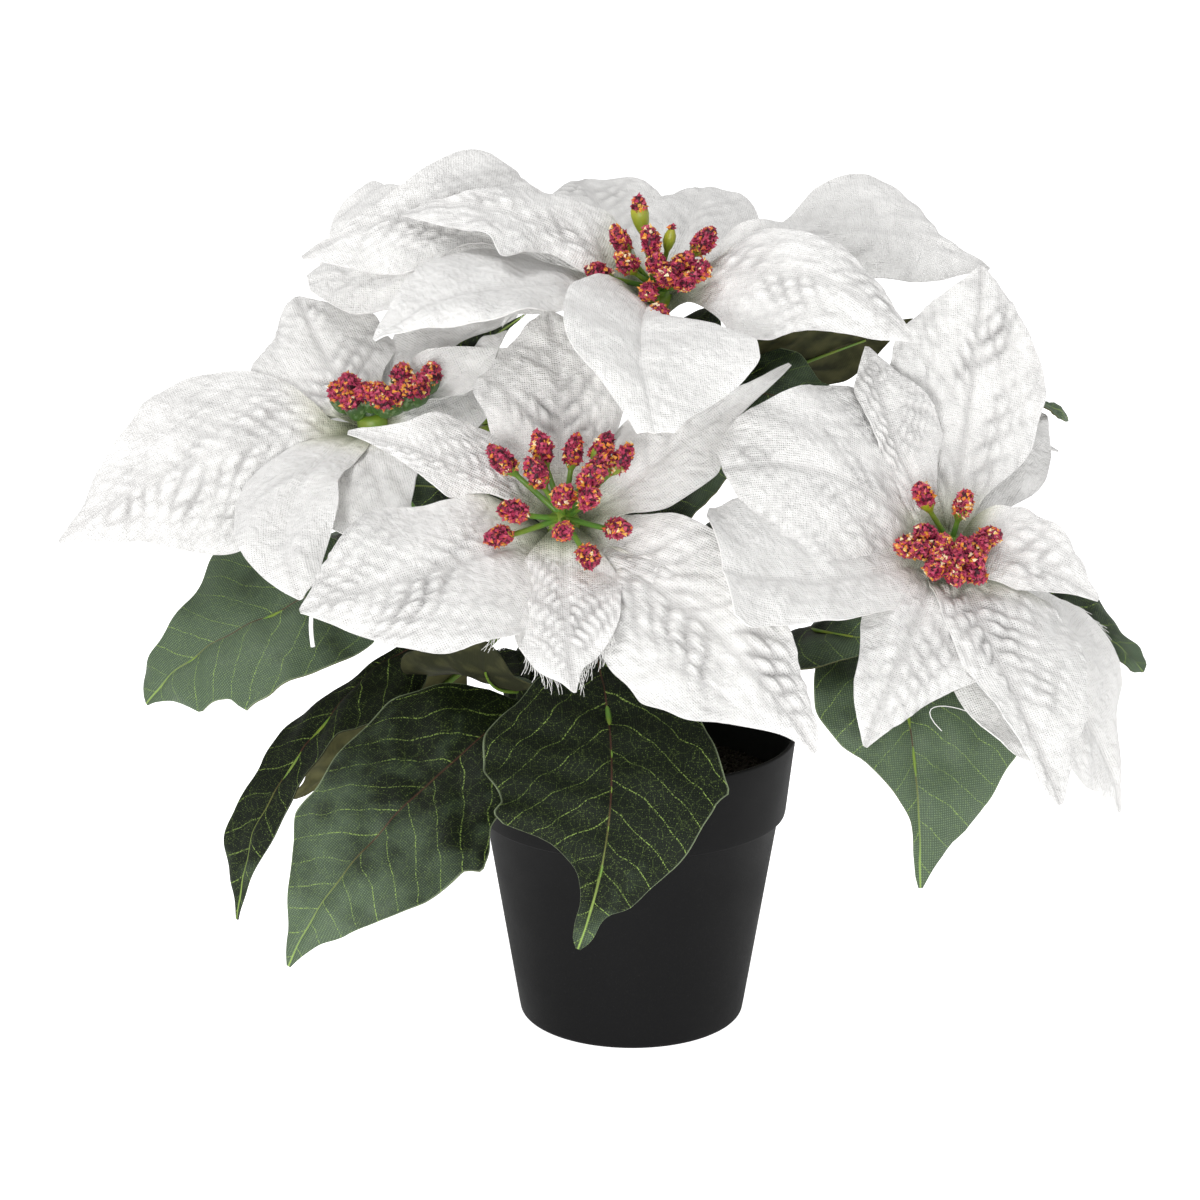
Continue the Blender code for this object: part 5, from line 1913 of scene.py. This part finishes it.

# The last value of a leaf is its painted shade, painted sheen where below zero
LEAVES = {
    "a": (
        Leaf(0.72, Blade(
            "under right", LEAF, (42, -8, 236), (78, -24, 236), 50, 35,
            right=((0.3, 24), (0.5, 34), (0.7, 28), (0.86, 14), (0.96, 4)))),
        Leaf(0.66, Blade("right back", LEAF, (56, 14, 242), (100, 6, 260), 60, -40), 0.4),
        Leaf(0.93, Blade("under front", LEAF, (18, -26, 259), (38, -38, 259), 30, 35), 0.5),
    ),
    "b": (
        Leaf(0.55, Blade(
            "left", LEAF, (-133, -34, 160), (-172, -40, 131), 62, -32,
            left=((0.2, 18), (0.27, 28), (0.4, 33), (0.57, 33), (0.64, 28), (0.7, 23), (0.76, 19),
                  (0.82, 15), (0.9, 8), (0.96, 3)),
            right=((0.2, 18), (0.3, 33), (0.4, 40), (0.49, 37), (0.59, 26), (0.69, 19), (0.8, 14),
                   (0.9, 11), (0.96, 7)),
            teeth=((Side.LEFT, 0.67, 7), (Side.LEFT, 0.83, 5))), -0.7),
        Leaf(0.42, Blade(
            "low left", LEAF, (-113, -42, 121), (-141, -53, 55), 44, -8,
            left=((0.25, 20), (0.37, 29), (0.43, 20), (0.48, 14), (0.53, 14), (0.62, 11), (0.73, 10),
                  (0.88, 5)),
            right=((0.3, 3), (0.37, 9), (0.45, 15), (0.53, 18), (0.61, 14), (0.68, 12), (0.76, 13),
                   (0.81, 14), (0.87, 11), (0.92, 6), (0.97, 2))), 1.2),
        Leaf(0.36, Blade("under", LEAF, (-90, -8, 112), (-124, -10, 86), 50, 50)),
        Leaf(0.6, Blade("back left", LEAF, (-118, 26, 172), (-162, 44, 142), 52)),
        Leaf(0.93, Blade("high right", LEAF, (-66, -4, 243), (-38, 0, 263), 12, 60), 1.2),
    ),
    "c": (
        Leaf(0.4, Blade(
            "low left", LEAF, (-79, -90, 109), (-117, -110, 60), 74, -32,
            left=((0.22, 16), (0.32, 24), (0.4, 27), (0.47, 33), (0.54, 33), (0.63, 30), (0.69, 25),
                  (0.79, 16), (0.92, 5)),
            right=((0.22, 20), (0.35, 34), (0.48, 33), (0.6, 28), (0.65, 28), (0.72, 21), (0.82, 13),
                   (0.94, 4)),
            teeth=((Side.LEFT, 0.5, 5),)), 0.15),
        Leaf(0.6, Blade(
            "low front", LEAF, (-8, -122, 134), (-19, -145, 80), 86,
            left=((0.22, 20), (0.39, 31), (0.5, 35), (0.58, 34), (0.64, 30), (0.74, 24), (0.83, 14),
                  (0.92, 5), (0.97, 3)),
            right=((0.2, 16), (0.24, 23), (0.3, 34), (0.38, 42), (0.48, 43), (0.58, 38), (0.66, 36),
                   (0.7, 27), (0.745, 16), (0.81, 7), (0.88, 4), (0.97, 3)),
            teeth=((Side.LEFT, 0.56, 4), (Side.RIGHT, 0.7, 8))), 1.1),
        Leaf(0.42, Blade(
            "under", LEAF, (-44, -56, 142), (-50, -88, 168), 84,
            left=((0.2, 20), (0.3, 32), (0.5, 40), (0.7, 32), (0.9, 12)),
            right=((0.2, 24), (0.3, 36), (0.5, 42), (0.7, 32), (0.9, 12))), 0.7),
        Leaf(0.56, Blade("behind", LEAF, (-36, -36, 149), (-46, -44, 112), 66), 1.3),
        Leaf(0.8, Blade("high left", LEAF, (-54, -34, 203), (-86, -28, 208), 48, -40), 0.7),
        Leaf(0.78, Blade("high right", LEAF, (14, -44, 208), (38, -50, 223), 32, 30)),
    ),
    "d": (
        Leaf(0.66, Blade(
            "low front", LEAF, (95, -68, 132), (99, -78, 76), 60,
            left=((0.22, 22), (0.3, 34), (0.45, 40), (0.62, 38), (0.7, 32), (0.8, 25), (0.86, 17),
                  (0.92, 8), (0.97, 3)),
            right=((0.2, 22), (0.29, 32), (0.4, 34), (0.54, 26), (0.61, 18), (0.73, 8), (0.82, 3),
                   (0.96, 2))), -0.55),
        Leaf(0.55, Blade("middle", LEAF, (62, -50, 162), (92, -64, 160), 64, 25), 0.3),
        Leaf(0.75, Blade(
            "right", LEAF, (150, -14, 158), (183, -20, 137), 44, 30,
            left=((0.25, 14), (0.5, 21), (0.67, 19), (0.8, 15), (0.97, 6)),
            right=((0.25, 14), (0.5, 12), (0.77, 6), (0.97, 6))), 0.4),
    ),
    "e": (
        Leaf(0.75, Blade(
            "right", LEAF, (122, 26, 222), (160, 28, 219), 28, fold=4, ruffle=0, relief=QUILTED,
            left=((0.4, 12), (0.7, 8), (0.9, 5), (0.97, 3)),
            right=((0.4, 12), (0.7, 8), (0.9, 5), (0.97, 3)))),
        Leaf(0.5, Blade("back", LEAF, (62, 100, 160), (76, 148, 112), 60)),
        Leaf(0.42, Blade("low right", LEAF, (94, 58, 148), (144, 74, 106), 58)),
    ),
    "f": (
        Leaf(0.5, Blade("back", LEAF, (-48, 104, 160), (-58, 152, 108), 60)),
        Leaf(0.56, Blade("left", LEAF, (-98, 66, 168), (-146, 82, 132), 56)),
        Leaf(0.4, Blade("right back", LEAF, (0, 76, 150), (6, 126, 106), 52)),
    ),
}


def main() -> None:
    """Load the frame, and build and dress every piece."""
    logging.basicConfig(level=logging.INFO, format="%(name)s %(message)s", stream=sys.stdout)
    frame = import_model()
    LOG.info("frame loaded with %d nodes", len(frame["nodes"]))
    wardrobe = Wardrobe()
    crumbs, threads, grit = CrumbRecipe(), ThreadRecipe(), GritRecipe()
    Pot().build(wardrobe)
    Plug().build(wardrobe, grit)
    for bloom in BLOOMS:
        LeafyStem(bloom, LEAVES[bloom.letter]).build(wardrobe)
        bloom.build_bracts(wardrobe)
        bloom.build_threads(wardrobe, threads)
        bloom.build_heads(wardrobe, crumbs)
    Studio().build()


if __name__ == "__main__":
    main()
